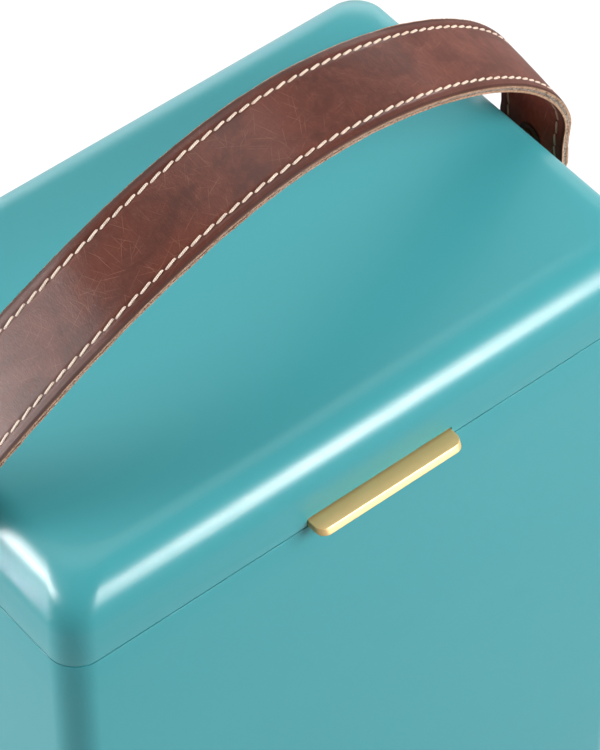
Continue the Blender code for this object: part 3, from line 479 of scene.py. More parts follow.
white = liner_plastic()
outer_inset = CAVITY_INSET - LINER_WALL
outer_radius = CAVITY_CORNER_RADIUS + LINER_WALL
tub_rings = [
    body_ring(outer_inset, CAVITY_FLOOR - LINER_WALL, outer_radius),
    body_ring(outer_inset, RIM - LINER_WALL, outer_radius),
    body_ring(LINER_EDGE_INSET, RIM - LINER_WALL),
    body_ring(LINER_EDGE_INSET, RIM - FLANGE_BREAK),
    body_ring(LINER_EDGE_INSET + FLANGE_BREAK, RIM),
]
for inset, drop in rolled(RIM_EDGE_RADIUS, 6):
    tub_rings.append(body_ring(CAVITY_INSET - inset, RIM - drop, CAVITY_CORNER_RADIUS + inset))
for inset, drop in reversed(rolled(CAVITY_FLOOR_FILLET, 12)):
    tub_rings.append(body_ring(CAVITY_INSET + inset, CAVITY_FLOOR + drop, CAVITY_CORNER_RADIUS - inset))
inner_tub = cut_out(lofted("inner_tub", tub_rings, [white]), *HOOK_SLOT)
fix(inner_tub, "case", "liner", "case_liner")


# Insulation fills the space between shell and tub, in the case and in the lid. It is pale yellow foam with
# closed cells, poured in place, and shows only through the slots of the latch.
def insulation_foam():
    """Poured foam: small closed cells with painted shade in their pits, yellower where it is dense."""
    finish = Finish("yellow_foam", Specular_IOR_Level=0.2)
    place = finish.place()
    bubbles = finish.cells(place, 1300)
    drift = finish.cloud(place, 40, 3, 0.6)
    tone = finish.shade(drift, (0.80, 0.71, 0.44), (0.90, 0.83, 0.60))
    # Painted shade: each cell's pit, where the bump sinks it, is darkened.
    tone = finish.shade(finish.between(bubbles, 0.35, 0.1), tone, (0.62, 0.52, 0.30))
    gloss = 0.78 + drift * 0.15
    return finish.feed(Base_Color=tone, Roughness=gloss, Normal=finish.relief(bubbles, 0.00025))


def dress(node, finish):
    """Gives a CAD node that keeps its shape a better finish."""
    slots = cad_nodes[node].material_slots
    if not slots:
        cad_nodes[node].data.materials.append(finish)
    for slot in slots:
        slot.material = finish


foam = insulation_foam()
dress("case_foam", foam)
dress("lid_foam", foam)

# Four black rubber feet are pushed through the case's floor. Each has a round pad with a shallow ring of grip
# grooves below and a barbed stem above.
FOOT_RADIUS = 0.012
GROOVE = 0.0006
FOOT_SPREAD = (0.126, 0.0685)


def black_rubber():
    """Moulded rubber: a matt pebbled skin with dust in its low places."""
    finish = Finish("black_rubber", Specular_IOR_Level=0.35)
    place = finish.place()
    pebbles = finish.cloud(place, 1700, 3, 0.6)
    dust = finish.between(finish.cloud(place, 120, 4, 0.65), 0.5, 0.75)
    tone = finish.shade(dust * 0.5, (0.018, 0.018, 0.019), (0.06, 0.058, 0.055))
    gloss = 0.62 + dust * 0.25
    return finish.feed(Base_Color=tone, Roughness=gloss, Normal=finish.relief(pebbles, 0.00005))


def turn_profile(builder, profile, matrix, sides):
    """Adds a turned body to a bmesh. The profile is (radius, height) along the matrix's Z."""
    rows = []
    for radius, height in profile:
        count = 1 if radius == 0 else sides
        row = []
        for side in range(count):
            angle = 2 * math.pi * side / sides
            point = Vector((radius * math.cos(angle), radius * math.sin(angle), height))
            row.append(builder.verts.new(matrix @ point))
        rows.append(row)
    if profile[0][0] != 0:
        rows.append(rows[0])
    for lower, upper in zip(rows, rows[1:]):
        if len(lower) > 1 and len(upper) > 1:
            bridge(builder, lower, upper)
            continue
        tip, row = (lower[0], upper) if len(lower) == 1 else (upper[0], lower)
        for side in range(sides):
            builder.faces.new((tip, row[side], row[(side + 1) % sides]))


def round_off(start, middle, end, steps=4):
    """Points of a smooth bend from start to end whose sides meet at middle."""
    points = []
    for step in range(steps + 1):
        share = step / steps
        weights = ((1 - share) ** 2, 2 * share * (1 - share), share**2)
        points.append(tuple(sum(w * p[i] for w, p in zip(weights, (start, middle, end))) for i in (0, 1)))
    return points


foot_profile = [(0, GROOVE), (0.0030, GROOVE), (0.0034, 0), (0.0052, 0), (0.0056, GROOVE)]
foot_profile += [(0.0064, GROOVE), (0.0068, 0), (0.0084, 0), (0.0088, GROOVE)]
foot_profile += [(0.0092, GROOVE), (0.0096, 0), (0.0103, 0)]
foot_profile += round_off((0.0105, 0.0), (FOOT_RADIUS, 0.0001), (FOOT_RADIUS, 0.0018))
foot_profile += round_off((FOOT_RADIUS, 0.0046), (FOOT_RADIUS, 0.0057), (0.0112, 0.0057))
foot_profile += [(0.0030, 0.0057), (0.0030, 0.0088), (0.0038, 0.0088), (0.0030, 0.0110), (0, 0.0110)]
foot_builder = bmesh.new()
for sign_x in (-1, 1):
    for sign_y in (-1, 1):
        foot_place = Matrix.Translation((sign_x * FOOT_SPREAD[0], sign_y * FOOT_SPREAD[1], 0))
        turn_profile(foot_builder, foot_profile, foot_place, 48)
rubber_feet = piece_from("rubber_feet", foot_builder, [black_rubber()])
foot_nodes = [f"foot_{end}_{hand}" for end in ("front", "rear") for hand in ("left", "right")]
fix(rubber_feet, "case", "rubber", *foot_nodes)


# The strike is a folded strip of stainless steel on the tub's flange, where the latch hook catches under its
# lip. Its screws are the same pan-head ones that hold the hinges.
STRIKE_SCREW_HALF = 0.017
STRIKE_SCREW_Y = -0.0846
STRIKE_TOP = SEAM - 0.0012


def drawn_steel():
    """Rolled stainless steel: fine drawn lines in one direction, and soft finger haze."""
    finish = Finish("drawn_steel", Metallic=1.0)
    place = finish.place()
    drawn = finish.cloud(finish.stretched(place, (30, 2400, 2400)), 1.0, 3, 0.6)
    haze = finish.cloud(place, 90, 3, 0.6)
    tone = finish.shade(drawn, (0.52, 0.52, 0.53), (0.68, 0.68, 0.69))
    gloss = 0.24 + drawn * 0.10 + haze * 0.12
    return finish.feed(Base_Color=tone, Roughness=gloss, Normal=finish.relief(drawn, 0.000004))


steel = drawn_steel()
dress("strike_plate", steel)


def pan_head_screw(builder, seat, outward):
    """A pan-head screw with a cross recess, its head on the seat. Adds it to a bmesh."""
    matrix = Matrix.Translation(Vector(seat)) @ Vector(outward).to_track_quat("Z", "Y").to_matrix().to_4x4()
    shank = [(0, -0.009), (0.0007, -0.009), (0.0015, -0.0075), (0.0015, 0.0)]
    head = [(0.0029, 0.0), (0.0030, 0.0002), (0.0030, 0.0006)]
    head += round_off((0.0030, 0.0006), (0.0028, 0.0012), (0.0014, 0.0012), 6)
    turn_profile(builder, shank + head + [(0.0009, 0.0012), (0.0006, 0.0004), (0, 0.0002)], matrix, 24)
    for quarter in range(4):
        arm = matrix @ Matrix.Rotation(math.pi / 4 + quarter * math.pi / 2, 4, "Z")
        low = [(0.0004, -0.00022), (0.0014, -0.00018), (0.0014, 0.00018), (0.0004, 0.00022)]
        _, ends = loft_into(builder, [[arm @ Vector((x, y, z)) for x, y in low] for z in (0.0009, 0.00126)])
        ends[1].material_index = 1


def recess_black():
    """The shadow inside a driver recess, with a trace of oil."""
    finish = Finish("recess_black", Metallic=0.6)
    place = finish.place()
    grime = finish.cloud(place, 2500, 2, 0.6)
    tone = finish.shade(grime, (0.012, 0.011, 0.010), (0.05, 0.045, 0.038))
    return finish.feed(Base_Color=tone, Roughness=0.45 + grime * 0.3, Normal=finish.relief(grime, 0.00003))


dark_recess = recess_black()


def screw_set(name, body, places, outward, nodes):
    """The screws that hold one piece, as one named group."""
    builder = bmesh.new()
    for seat in places:
        pan_head_screw(builder, seat, outward)
    fix(piece_from(name, builder, [steel, dark_recess]), body, "steel", *nodes)


strike_seats = [(sign * STRIKE_SCREW_HALF, STRIKE_SCREW_Y, STRIKE_TOP) for sign in (-1, 1)]
screw_set("strike_screws", "case", strike_seats, (0, 0, 1), ("strike_screw_left", "strike_screw_right"))

# Two butt hinges join the lid to the case at the rear. Each is two brass-plated leaves with interleaved
# knuckles on one pin, and each leaf is held by two screws.
HINGE_CENTERS = {"left": -0.09504, "right": 0.09504}
HINGE_AXIS_Y = REAR + 0.005
HINGE_HALF = 0.030
LID_KNUCKLE_HALF = 0.011
CASE_KNUCKLE_START = LID_KNUCKLE_HALF + FIT
LEAF_NEAR = REAR + FIT
LEAF_FAR = REAR + 0.0018
LEAF_EDGE = 0.0003
LEAF_HALF = HINGE_HALF - 0.0002
LEAF_CORNER = 0.003
LEAF_ROOT = 0.001
KNUCKLE_ROOM = 0.0048
KNUCKLE_RADII = (0.0021, 0.0045)
KNUCKLE_EDGE = 0.0003
HINGE_SCREW_HALF = 0.01975


def plated_brass(name, turn, low, high, base_gloss, drawn_depth=0.000005, metallic=1.0):
    """Satin gold plate: drawn lines under a thin lacquer, rubbed brighter in patches."""
    finish = Finish(name, Metallic=metallic)
    place = finish.place()
    drawn = finish.cloud(finish.stretched(place, (24, 2600, 2600), turn), 1.0, 3, 0.62)
    rubbed = finish.between(finish.cloud(place, 70, 3, 0.6), 0.4, 0.7)
    grains = finish.cloud(place, 2600, 2, 0.7)
    tone = finish.shade(drawn * 0.6 + rubbed * 0.4, low, high)
    gloss = base_gloss + drawn * 0.10 - rubbed * 0.05 + grains * 0.06
    skin = finish.relief(drawn, drawn_depth)
    skin = finish.relief(grains, 0.000004, skin)
    return finish.feed(Base_Color=tone, Roughness=gloss, Normal=skin)


hinge_brass = plated_brass("hinge_brass", (0, 0, 0), (0.50, 0.38, 0.17), (0.60, 0.47, 0.23), 0.26)


def leaf_into(builder, center_x, far_edge, notches):
    """A flat leaf behind the rear wall. Its far corners are round, and notches are cut for knuckles."""
    direction = 1 if far_edge > SEAM else -1
    outline = []
    for start, end, depth in notches:
        outline += [(start, SEAM + direction * depth), (end, SEAM + direction * depth)]
    for sign in (1, -1):
        center_z = far_edge - direction * LEAF_CORNER
        for step in range(9):
            swing = math.pi / 16 * (step if sign > 0 else 8 - step)
            x = sign * (LEAF_HALF - LEAF_CORNER + LEAF_CORNER * math.cos(swing))
            outline.append((x, center_z + direction * LEAF_CORNER * math.sin(swing)))
    middle_z = (SEAM + far_edge) / 2
    rings = []
    for y, shrink in ((LEAF_NEAR, 0), (LEAF_FAR - LEAF_EDGE, 0), (LEAF_FAR, LEAF_EDGE)):
        ring = []
        for x, z in outline:
            back_x = x - math.copysign(shrink, x)
            back_z = z - math.copysign(shrink, z - middle_z)
            ring.append((center_x + back_x, y, back_z))
        rings.append(ring)
    loft_into(builder, rings)


def barrel_into(builder, start, end, axis_y, axis_z, radii, edge, sides):
    """A round barrel along X round a pin: a bore and an outer radius, and broken edges."""
    bore, radius = radii
    matrix = Matrix.Translation((0, axis_y, axis_z)) @ Matrix.Rotation(math.pi / 2, 4, "Y")
    profile = [(bore, start), (radius - edge, start), (radius, start + edge)]
    profile += [(radius, end - edge), (radius - edge, end), (bore, end)]
    turn_profile(builder, profile, matrix, sides)


# Each body's leaf: how far its edge is from the seam, half its middle notch, how deep it is cut beside and in
# the middle notch, and where its knuckles start and end. The screws have a height from the seam.
LEAVES = (
    ("case", -0.026, CASE_KNUCKLE_START + 0.0002, LEAF_ROOT, KNUCKLE_ROOM,
     ((-HINGE_HALF, -CASE_KNUCKLE_START), (CASE_KNUCKLE_START, HINGE_HALF))),
    ("lid", 0.0185, LID_KNUCKLE_HALF - 0.0002, KNUCKLE_ROOM, LEAF_ROOT,
     ((-LID_KNUCKLE_HALF, LID_KNUCKLE_HALF),)),
)
SCREW_RISES = (("case", -0.0165), ("lid", 0.0125))
for hand, center_x in HINGE_CENTERS.items():
    dress(f"hinge_pin_{hand}", steel)
    for body, far, gap, beside, middle, knuckles in LEAVES:
        leaf_builder = bmesh.new()
        notches = ((-LEAF_HALF, -gap, beside), (-gap, gap, middle), (gap, LEAF_HALF, beside))
        leaf_into(leaf_builder, center_x, SEAM + far, notches)
        for start, end in knuckles:
            ends = (center_x + start, center_x + end)
            barrel_into(leaf_builder, *ends, HINGE_AXIS_Y, SEAM, KNUCKLE_RADII, KNUCKLE_EDGE, 48)
        leaf = piece_from(f"{body}_leaf_{hand}", leaf_builder, [hinge_brass])
        fix(leaf, body, "hinge_gold", f"hinge_{body}_leaf_{hand}")
    for body, rise in SCREW_RISES:
        seats = [(center_x + sign * HINGE_SCREW_HALF, LEAF_FAR + FIT, SEAM + rise) for sign in (-1, 1)]
        nodes = [f"hinge_{body}_screw_{hand}_{number}" for number in (1, 2)]
        screw_set(f"{body}_leaf_screws_{hand}", body, seats, (0, 1, 0), nodes)

# The lid's shell is moulded in the same teal plastic. Its wide rolled edge runs all round, and a notch in the
# front of its skirt lets the finger tab out.
LID_ROLL = 0.022
LID_ROLL_POWER = 2.25
TOP_CORNER_GAIN = 0.006
TAB_LENGTH = 0.077
NOTCH_HALF = TAB_LENGTH / 2 + FIT
TAB_NOTCH = ((-NOTCH_HALF, FRONT - 0.002, SEAM - 0.004), (NOTCH_HALF, FRONT + 0.0045, SEAM + 0.0050))
SKIRT_BOTTOM = SEAM + SEAM_GAP / 2
SKIRT_TOP = SEAM + 0.012


def lid_ring(inset, height, wall=0.0):
    """Plan ring of the lid. Its corners grow rounder toward the flat top."""
    share = max(inset - wall, 0) / LID_ROLL
    return body_ring(inset, height, CORNER_RADIUS - wall + TOP_CORNER_GAIN * share**1.5)


lid_rings = [lid_ring(inset, LID_TOP - drop) for inset, drop in rolled(LID_ROLL, 26, LID_ROLL_POWER)]
lid_rings += [lid_ring(0, SKIRT_TOP)]
lid_rings += [lid_ring(inset, SKIRT_BOTTOM + drop) for inset, drop in reversed(rolled(RIM_ROUND, 5))]
lid_rings += [lid_ring(SHELL_WALL, SKIRT_BOTTOM)]
ceiling = LID_TOP - SHELL_WALL
lid_rings += [
    lid_ring(SHELL_WALL + inset, ceiling - drop, SHELL_WALL)
    for inset, drop in reversed(rolled(LID_ROLL - SHELL_WALL, 8, LID_ROLL_POWER))
]
fix(cut_out(lofted("moulded_lid", lid_rings, [teal]), *TAB_NOTCH), "lid", "shell", "lid_shell")

# The lid's inner panel is formed from the same white sheet as the tub. Its shallow plug drops into the tub's
# mouth, and the seal is pressed on round it.
LID_PANEL = SEAM + 0.001
PLUG_CLEARANCE = 0.0015
PLUG_INSET = CAVITY_INSET + PLUG_CLEARANCE
PLUG_RADIUS = CAVITY_CORNER_RADIUS - PLUG_CLEARANCE
PLUG_ROOT = 0.0006
PLUG_FLOOR = SEAM - 0.008
PLUG_FILLET = 0.003
POCKET_HALF = TAB_LENGTH / 2 + 0.0018
LATCH_POCKET = ((-POCKET_HALF, FRONT - 0.001, SEAM - 0.002), (POCKET_HALF, FRONT + 0.0165, SEAM + 0.009))

panel_rings = [
    body_ring(PLUG_INSET + inset, PLUG_FLOOR + drop, PLUG_RADIUS - inset)
    for inset, drop in rolled(PLUG_FILLET, 8)
]
hollow_inset = PLUG_INSET + LINER_WALL
hollow_radius = PLUG_RADIUS - LINER_WALL
panel_rings += [
    body_ring(PLUG_INSET, LID_PANEL - PLUG_ROOT, PLUG_RADIUS),
    body_ring(PLUG_INSET - PLUG_ROOT, LID_PANEL, PLUG_RADIUS + PLUG_ROOT),
    body_ring(LINER_EDGE_INSET, LID_PANEL),
    body_ring(LINER_EDGE_INSET, LID_PANEL + LINER_WALL),
    body_ring(hollow_inset, LID_PANEL + LINER_WALL, hollow_radius),
    body_ring(hollow_inset, PLUG_FLOOR + LINER_WALL, hollow_radius),
]
lid_panel = cut_out(lofted("lid_inner_panel", panel_rings, [white]), *LATCH_POCKET)
fix(lid_panel, "lid", "liner", "lid_liner")


# The seal is a grey silicone ring that is pressed onto the lid's panel round the plug. Its round nose rests
# on the tub's flange when the lid is shut.
SEAL_INSET = 0.0215
SEAL_HALF = 0.002


def grey_silicone():
    """Moulded silicone: cloudy grey with a fine matt bloom."""
    finish = Finish("grey_silicone", Specular_IOR_Level=0.4)
    place = finish.place()
    drift = finish.cloud(place, 30, 3, 0.6)
    bloom = finish.cloud(place, 900, 3, 0.6)
    tone = finish.shade(drift, (0.10, 0.105, 0.11), (0.15, 0.155, 0.16))
    gloss = 0.50 + bloom * 0.2
    return finish.feed(Base_Color=tone, Roughness=gloss, Normal=finish.relief(bloom, 0.00002))


seal_middle = SEAL_INSET + SEAL_HALF
seal_rings = [body_ring(SEAL_INSET, LID_PANEL - FIT, CAVITY_CORNER_RADIUS + SEAL_HALF)]
for step in range(15):
    angle = math.pi * step / 14
    inset = seal_middle - SEAL_HALF * math.cos(angle)
    height = RIM + FIT + SEAL_HALF * (1 - math.sin(angle))
    seal_rings.append(body_ring(inset, height, CAVITY_CORNER_RADIUS + SEAL_HALF * math.cos(angle)))
seal_rings.append(body_ring(seal_middle + SEAL_HALF, LID_PANEL - FIT, CAVITY_CORNER_RADIUS - SEAL_HALF))
fix(lofted("silicone_seal", seal_rings, [grey_silicone()], closed=True), "lid", "seal", "lid_gasket")

# The finger tab is a flat bar of satin gold-plated brass, and its front face leans back a little. Behind the
# skirt it narrows to round barrels that turn on a steel pin, and a tongue carries the hook.
TAB_REACH = 0.0095
TAB_REAR = FRONT + 0.0015
TAB_BOTTOM = SEAM + FIT
TAB_TOP = TAB_BOTTOM + 0.0035
TAB_CORNER = 0.0048
TAB_ROUND = 0.0004
TAB_LEAN = 0.0012
PIVOT_Y = FRONT + 0.0042
PIVOT_Z = SEAM + 0.00205
TAB_BARREL_RADII = (0.0011, 0.0019)
TAB_BARREL_EDGE = 0.0002
SPRING_BAY_START = 0.014
SPRING_BAY_END = 0.0265
WEB_OVERLAP = 0.001
WEB_HALF_HEIGHT = 0.0015
TONGUE_HALF = 0.0138
TONGUE_END = FRONT + 0.0105
TONGUE_HALF_HEIGHT = 0.001


def tab_ring(inset, height, lean=0):
    """Plan ring of the tab: straight at the rear, two round front corners. The front leans back by lean."""
    half = TAB_LENGTH / 2 - inset
    radius = TAB_CORNER - inset
    center_y = FRONT - (TAB_REACH - inset - lean) + radius
    points = [(half, TAB_REAR), (0, TAB_REAR), (-half, TAB_REAR)]
    for sign in (-1, 1):
        for step in range(13):
            swing = math.pi / 24 * (step if sign < 0 else 12 - step)
            x = sign * (half - radius + radius * math.cos(swing))
            points.append((x, center_y - radius * math.sin(swing)))
    return [(x, y, height) for x, y in points]


def block_into(builder, low_x, high_x, low_y, high_y, half_height):
    """A block at the height of the latch pin."""
    outline = [(low_x, low_y), (high_x, low_y), (high_x, high_y), (low_x, high_y)]
    loft_into(builder, [[(x, y, PIVOT_Z + side * half_height) for x, y in outline] for side in (-1, 1)])


tab_tones = ((0.575, 0.385, 0.155), (0.645, 0.44, 0.195))
tab_gold = plated_brass("tab_gold", (0, 0, 0), *tab_tones, 0.38, 0.000003, 0.4)
tab_builder = bmesh.new()
tab_rings = [tab_ring(inset, TAB_BOTTOM + drop) for inset, drop in rolled(TAB_ROUND, 4)]
face_height = TAB_TOP - TAB_ROUND / 2 - TAB_BOTTOM - TAB_ROUND
for share in (0.1, 0.9):
    tab_rings.append(tab_ring(0, TAB_BOTTOM + TAB_ROUND + face_height * share, TAB_LEAN * share))
top_round = list(reversed(rolled(TAB_ROUND, 9)))[3:]
tab_rings += [tab_ring(inset, TAB_TOP - drop, TAB_LEAN) for inset, drop in top_round]
loft_into(tab_builder, tab_rings)
tab_end = TAB_LENGTH / 2
for start, end in (
    (-tab_end, -SPRING_BAY_END),
    (-SPRING_BAY_START, SPRING_BAY_START),
    (SPRING_BAY_END, tab_end),
):
    barrel_into(tab_builder, start, end, PIVOT_Y, PIVOT_Z, TAB_BARREL_RADII, TAB_BARREL_EDGE, 32)
    web = (start, end, FRONT + WEB_OVERLAP, PIVOT_Y - WEB_OVERLAP)
    block_into(tab_builder, *web, WEB_HALF_HEIGHT)
tongue = (-TONGUE_HALF, TONGUE_HALF, PIVOT_Y + WEB_OVERLAP, TONGUE_END)
block_into(tab_builder, *tongue, TONGUE_HALF_HEIGHT)
finger_tab = piece_from("finger_tab", tab_builder, [tab_gold], sharp=50)
fix(finger_tab, "latch", "gold", "latch_tab")

# Behind the tab a folded steel bracket holds the pin, and the hook is a bent leaf of spring steel, welded to
# the tongue. The spring is wound on the pin. Its low leg waits clear of the tongue's lowest place, and its
# high leg rests under the bracket.
SPRING_START = 0.0150
SPRING_END = 0.0210
SPRING_TURNS = 4
TURN_STEPS = 20
WIRE_RADIUS = 0.0004
COIL_RADIUS = 0.0017
LEG_DEPTH = 0.0037
LEG_DROP = 0.00065
LEG_TOP = 0.00475

for node in ("latch_hook", "latch_bracket", "latch_pin"):
    dress(node, steel)


def wire_into(builder, path, radius):
    """A round wire along a path of points, closed at both ends."""
    rings = []
    side = Vector((0, 0, 1))
    angles = [math.pi / 5 * step for step in range(10)]
    for index, point in enumerate(path):
        ahead = (path[min(index + 1, len(path) - 1)] - path[max(index - 1, 0)]).normalized()
        side = (side - ahead * side.dot(ahead)).normalized()
        other = ahead.cross(side)
        ring = [point + radius * (side * math.cos(angle) + other * math.sin(angle)) for angle in angles]
        rings.append(ring)
    loft_into(builder, rings)


spring_path = [
    (SPRING_START - 0.003, LEG_DEPTH, -COIL_RADIUS - LEG_DROP),
    (SPRING_START - 0.0005, LEG_DEPTH, -COIL_RADIUS - LEG_DROP),
    (SPRING_START - 0.0001, LEG_DEPTH - 0.0001, -COIL_RADIUS - LEG_DROP),
    (SPRING_START, LEG_DEPTH - 0.0005, -COIL_RADIUS - LEG_DROP * 0.9),
    (SPRING_START, LEG_DEPTH / 2, -COIL_RADIUS - LEG_DROP * 0.3),
]
coil_steps = SPRING_TURNS * TURN_STEPS
for step in range(coil_steps + 1):
    turn = 2 * math.pi * step / TURN_STEPS
    along = SPRING_START + (SPRING_END - SPRING_START) * step / coil_steps
    spring_path.append((along, -COIL_RADIUS * math.sin(turn), -COIL_RADIUS * math.cos(turn)))
spring_path += [
    (SPRING_END, COIL_RADIUS, -COIL_RADIUS),
    (SPRING_END, COIL_RADIUS + 0.0006, -COIL_RADIUS + 0.0003),
    (SPRING_END, LEG_DEPTH + COIL_RADIUS, LEG_TOP),
]
spring_builder = bmesh.new()
latch_axis = Vector((0, PIVOT_Y, PIVOT_Z))
wire_into(spring_builder, [latch_axis + Vector(point) for point in spring_path], WIRE_RADIUS)
fix(piece_from("torsion_spring", spring_builder, [steel]), "lid", "steel", "latch_spring")

# A stud on each side carries the strap. Its post goes through the lid's wall to a nut inside, and a domed cap
# screws on over the strap's end. Post and cap are gold-plated like the tab.
STUD_Z = SEAM + 0.0088
STUD_THREAD = 0.0030
STUD_FLANGE = 0.0065
STUD_SHOULDER = 0.0040
STUD_NECK = 0.0035
CAP_BORE = 0.0038
CAP_RADIUS = 0.0090
CAP_DOME = 0.0078
STRAP_THICKNESS = 0.0042
STRAP_INSIDE = SIDE + 0.0123
STRAP_HALF_SPAN = STRAP_INSIDE + STRAP_THICKNESS
stud_gold = plated_brass("stud_gold", (0, 0, math.pi / 2), (0.50, 0.385, 0.18), (0.58, 0.45, 0.22), 0.22)
stud_places = {
    hand: Matrix.Translation((0, 0, STUD_Z)) @ Matrix.Rotation(direction * math.pi / 2, 4, "Y")
    for hand, direction in (("left", -1), ("right", 1))
}


def turned_piece(name, profile, hand, sides, finish):
    """A piece that is turned round the stud's axis. Heights in its profile run outward from the middle."""
    builder = bmesh.new()
    turn_profile(builder, profile, stud_places[hand], sides)
    return piece_from(f"{name}_{hand}", builder, [finish])


flange = SIDE + FIT
shoulder_end = STRAP_INSIDE - 0.0016
post_end = STRAP_HALF_SPAN + 0.0034
thread_end = SIDE - 0.0066
flange_face = (STUD_FLANGE, flange + 0.0006)
post_profile = [(0, thread_end), (0.0027, thread_end), (STUD_THREAD, SIDE - 0.0063), (STUD_THREAD, flange)]
post_profile += [(0.0063, flange), (STUD_FLANGE, flange + 0.0002), flange_face]
post_profile += round_off(flange_face, (0.0042, flange + 0.0010), (STUD_SHOULDER, flange + 0.0024))
post_profile += [(STUD_SHOULDER, shoulder_end - 0.0003), (0.0038, shoulder_end), (STUD_NECK, shoulder_end)]
post_profile += [(STUD_NECK, post_end), (0, post_end)]
seat = STRAP_HALF_SPAN + FIT
cap_floor = seat + 0.0037
cap_profile = [(0, cap_floor), (CAP_BORE, cap_floor), (CAP_BORE, seat), (0.0086, seat)]
cap_profile += round_off((0.0086, seat), (CAP_RADIUS, seat), (CAP_RADIUS, seat + 0.0005), 3)
cap_profile += [(CAP_RADIUS, seat + 0.0014)]
cap_profile += round_off((CAP_RADIUS, seat + 0.0014), (0.0088, seat + 0.0021), (0.0082, seat + 0.0022), 3)
for step in range(11):
    angle = math.pi / 2 * step / 11
    cap_profile.append((CAP_DOME * math.cos(angle), seat + 0.0024 + 0.0031 * math.sin(angle)))
cap_profile.append((0, seat + 0.0055))
for hand in stud_places:
    fix(turned_piece("strap_post", post_profile, hand, 56, stud_gold), "lid", "gold", f"stud_post_{hand}")
    fix(turned_piece("strap_cap", cap_profile, hand, 64, stud_gold), "lid", "gold", f"stud_cap_{hand}")
    dress(f"stud_nut_{hand}", steel)

# The strap is three layers sewn together: a face of smooth pull-up leather, a fibrous middle, and a smooth
# lining. All edges are raw. It bows up over the lid, leans a little to the front and lies slightly askew.
STRAP_WIDTH = 0.042
STRAP_CROWN = 0.1332
STRAP_STRAIGHT = 0.0142
STRAP_BULGE = 0.0195
STRAP_SIDE_PULL = 0.020
STRAP_CROWN_PULL = 0.541
ROOT_START = 0.008
ROOT_PULL = 0.008
ROOT_SHARE = 0.15
STRAP_LEAN = math.radians(11)
ASKEW_SHARE = 0.08
ASKEW_HEIGHT = 0.0335
STRAP_TIP = 0.35
STRAP_END_ROWS = 30
ROOT_ROWS = 24
STRAP_ROWS = 190
STITCH_INSET = 0.0052
FACE_DEPTHS = (0.0, 0.00150)
CORE_DEPTHS = (0.00150, 0.00275)
LINING_DEPTHS = (0.00275, 0.0042)
HALF_WIDTH = STRAP_WIDTH / 2
STRAP_MIDDLE_RUN = 0.2615
strap_place = Matrix.Translation((0, 0, STUD_Z)) @ Matrix.Rotation(STRAP_LEAN, 4, "X")


def cubic(controls, share):
    """Point of a cubic curve at a share of its run."""
    rest = 1 - share
    weights = (rest**3, 3 * share * rest**2, 3 * share**2 * rest, share**3)
    return sum((weight * control for weight, control in zip(weights, controls)), Vector((0, 0)))


def strap_course():
    """(x, height, normal x, normal height, run) of the outer face from the left tip to the right, by rows."""
    controls = (
        Vector((STRAP_HALF_SPAN, STRAP_STRAIGHT)),
        Vector((STRAP_HALF_SPAN + STRAP_BULGE, STRAP_STRAIGHT + STRAP_SIDE_PULL)),
        Vector((STRAP_CROWN_PULL * STRAP_HALF_SPAN, STRAP_CROWN)),
        Vector((0, STRAP_CROWN)),
    )
    root_end = cubic(controls, ROOT_SHARE)
    heading = (cubic(controls, ROOT_SHARE * 1.01) - root_end).normalized()
    root = (
        Vector((STRAP_HALF_SPAN, ROOT_START)),
        Vector((STRAP_HALF_SPAN, ROOT_START + ROOT_PULL)),
        root_end - ROOT_PULL * heading,
        root_end,
    )
    right = []
    for step in range(STRAP_END_ROWS):
        angle = math.pi / 2 * (step + STRAP_TIP) / STRAP_END_ROWS
        right.append((STRAP_HALF_SPAN, -HALF_WIDTH * math.cos(angle)))
    right += [(STRAP_HALF_SPAN, ROOT_START * step / 8) for step in range(8)]
    right += [tuple(cubic(root, step / ROOT_ROWS)) for step in range(ROOT_ROWS)]
    for step in range(STRAP_ROWS + 1):
        right.append(tuple(cubic(controls, ROOT_SHARE + (1 - ROOT_SHARE) * step / STRAP_ROWS)))
    points = [(-x, height) for x, height in right] + [(x, height) for x, height in reversed(right[:-1])]
    course = []
    run = 0
    for index, (x, height) in enumerate(points):
        before = points[max(index - 1, 0)]
        after = points[min(index + 1, len(points) - 1)]
        along = Vector((after[0] - before[0], after[1] - before[1])).normalized()
        if index:
            run += math.dist(points[index - 1], (x, height))
        course.append((x, height, -along.y, along.x, run))
    return course


def strap_point(row, across, depth):
    """The place of a point of the strap: across from its middle line, and depth under its outer face."""
    x, height, normal_x, normal_height, _ = row
    shift = 0
    if height > 0:
        shift = ASKEW_SHARE * x * (1 - math.exp(-((height / ASKEW_HEIGHT) ** 1.3)))
    return strap_place @ Vector((x - depth * normal_x, shift + across, height - depth * normal_height))


def half_width_at(height):
    if height >= 0:
        return HALF_WIDTH
    return math.sqrt(max(HALF_WIDTH**2 - height**2, 0))


def edge_distance(height, across):
    """How far a point of the strap is from its outline."""
    if height >= 0:
        return HALF_WIDTH - abs(across)
    return HALF_WIDTH - math.hypot(height, across)


def bell(value, middle, half):
    """1 at the middle, falling smoothly to 0 at half a width off."""
    share = min(abs(value - middle) / half, 1)
    return (1 - share**2) ** 2


def sewn_relief(distance):
    """Height of the leather by distance from the edge: rolled edge, convex margin, stitch trench."""
    rolled_edge = -0.00055 * max(1 - distance / 0.0019, 0) ** 2
    margin = 0.00012 * bell(distance, 0.0032, 0.0014)
    trench = -0.00040 * bell(distance, STITCH_INSET, 0.0014)
    pillow = 0.00016 * min(max((distance - 0.006) / 0.008, 0), 1)
    return rolled_edge + margin + trench + pillow


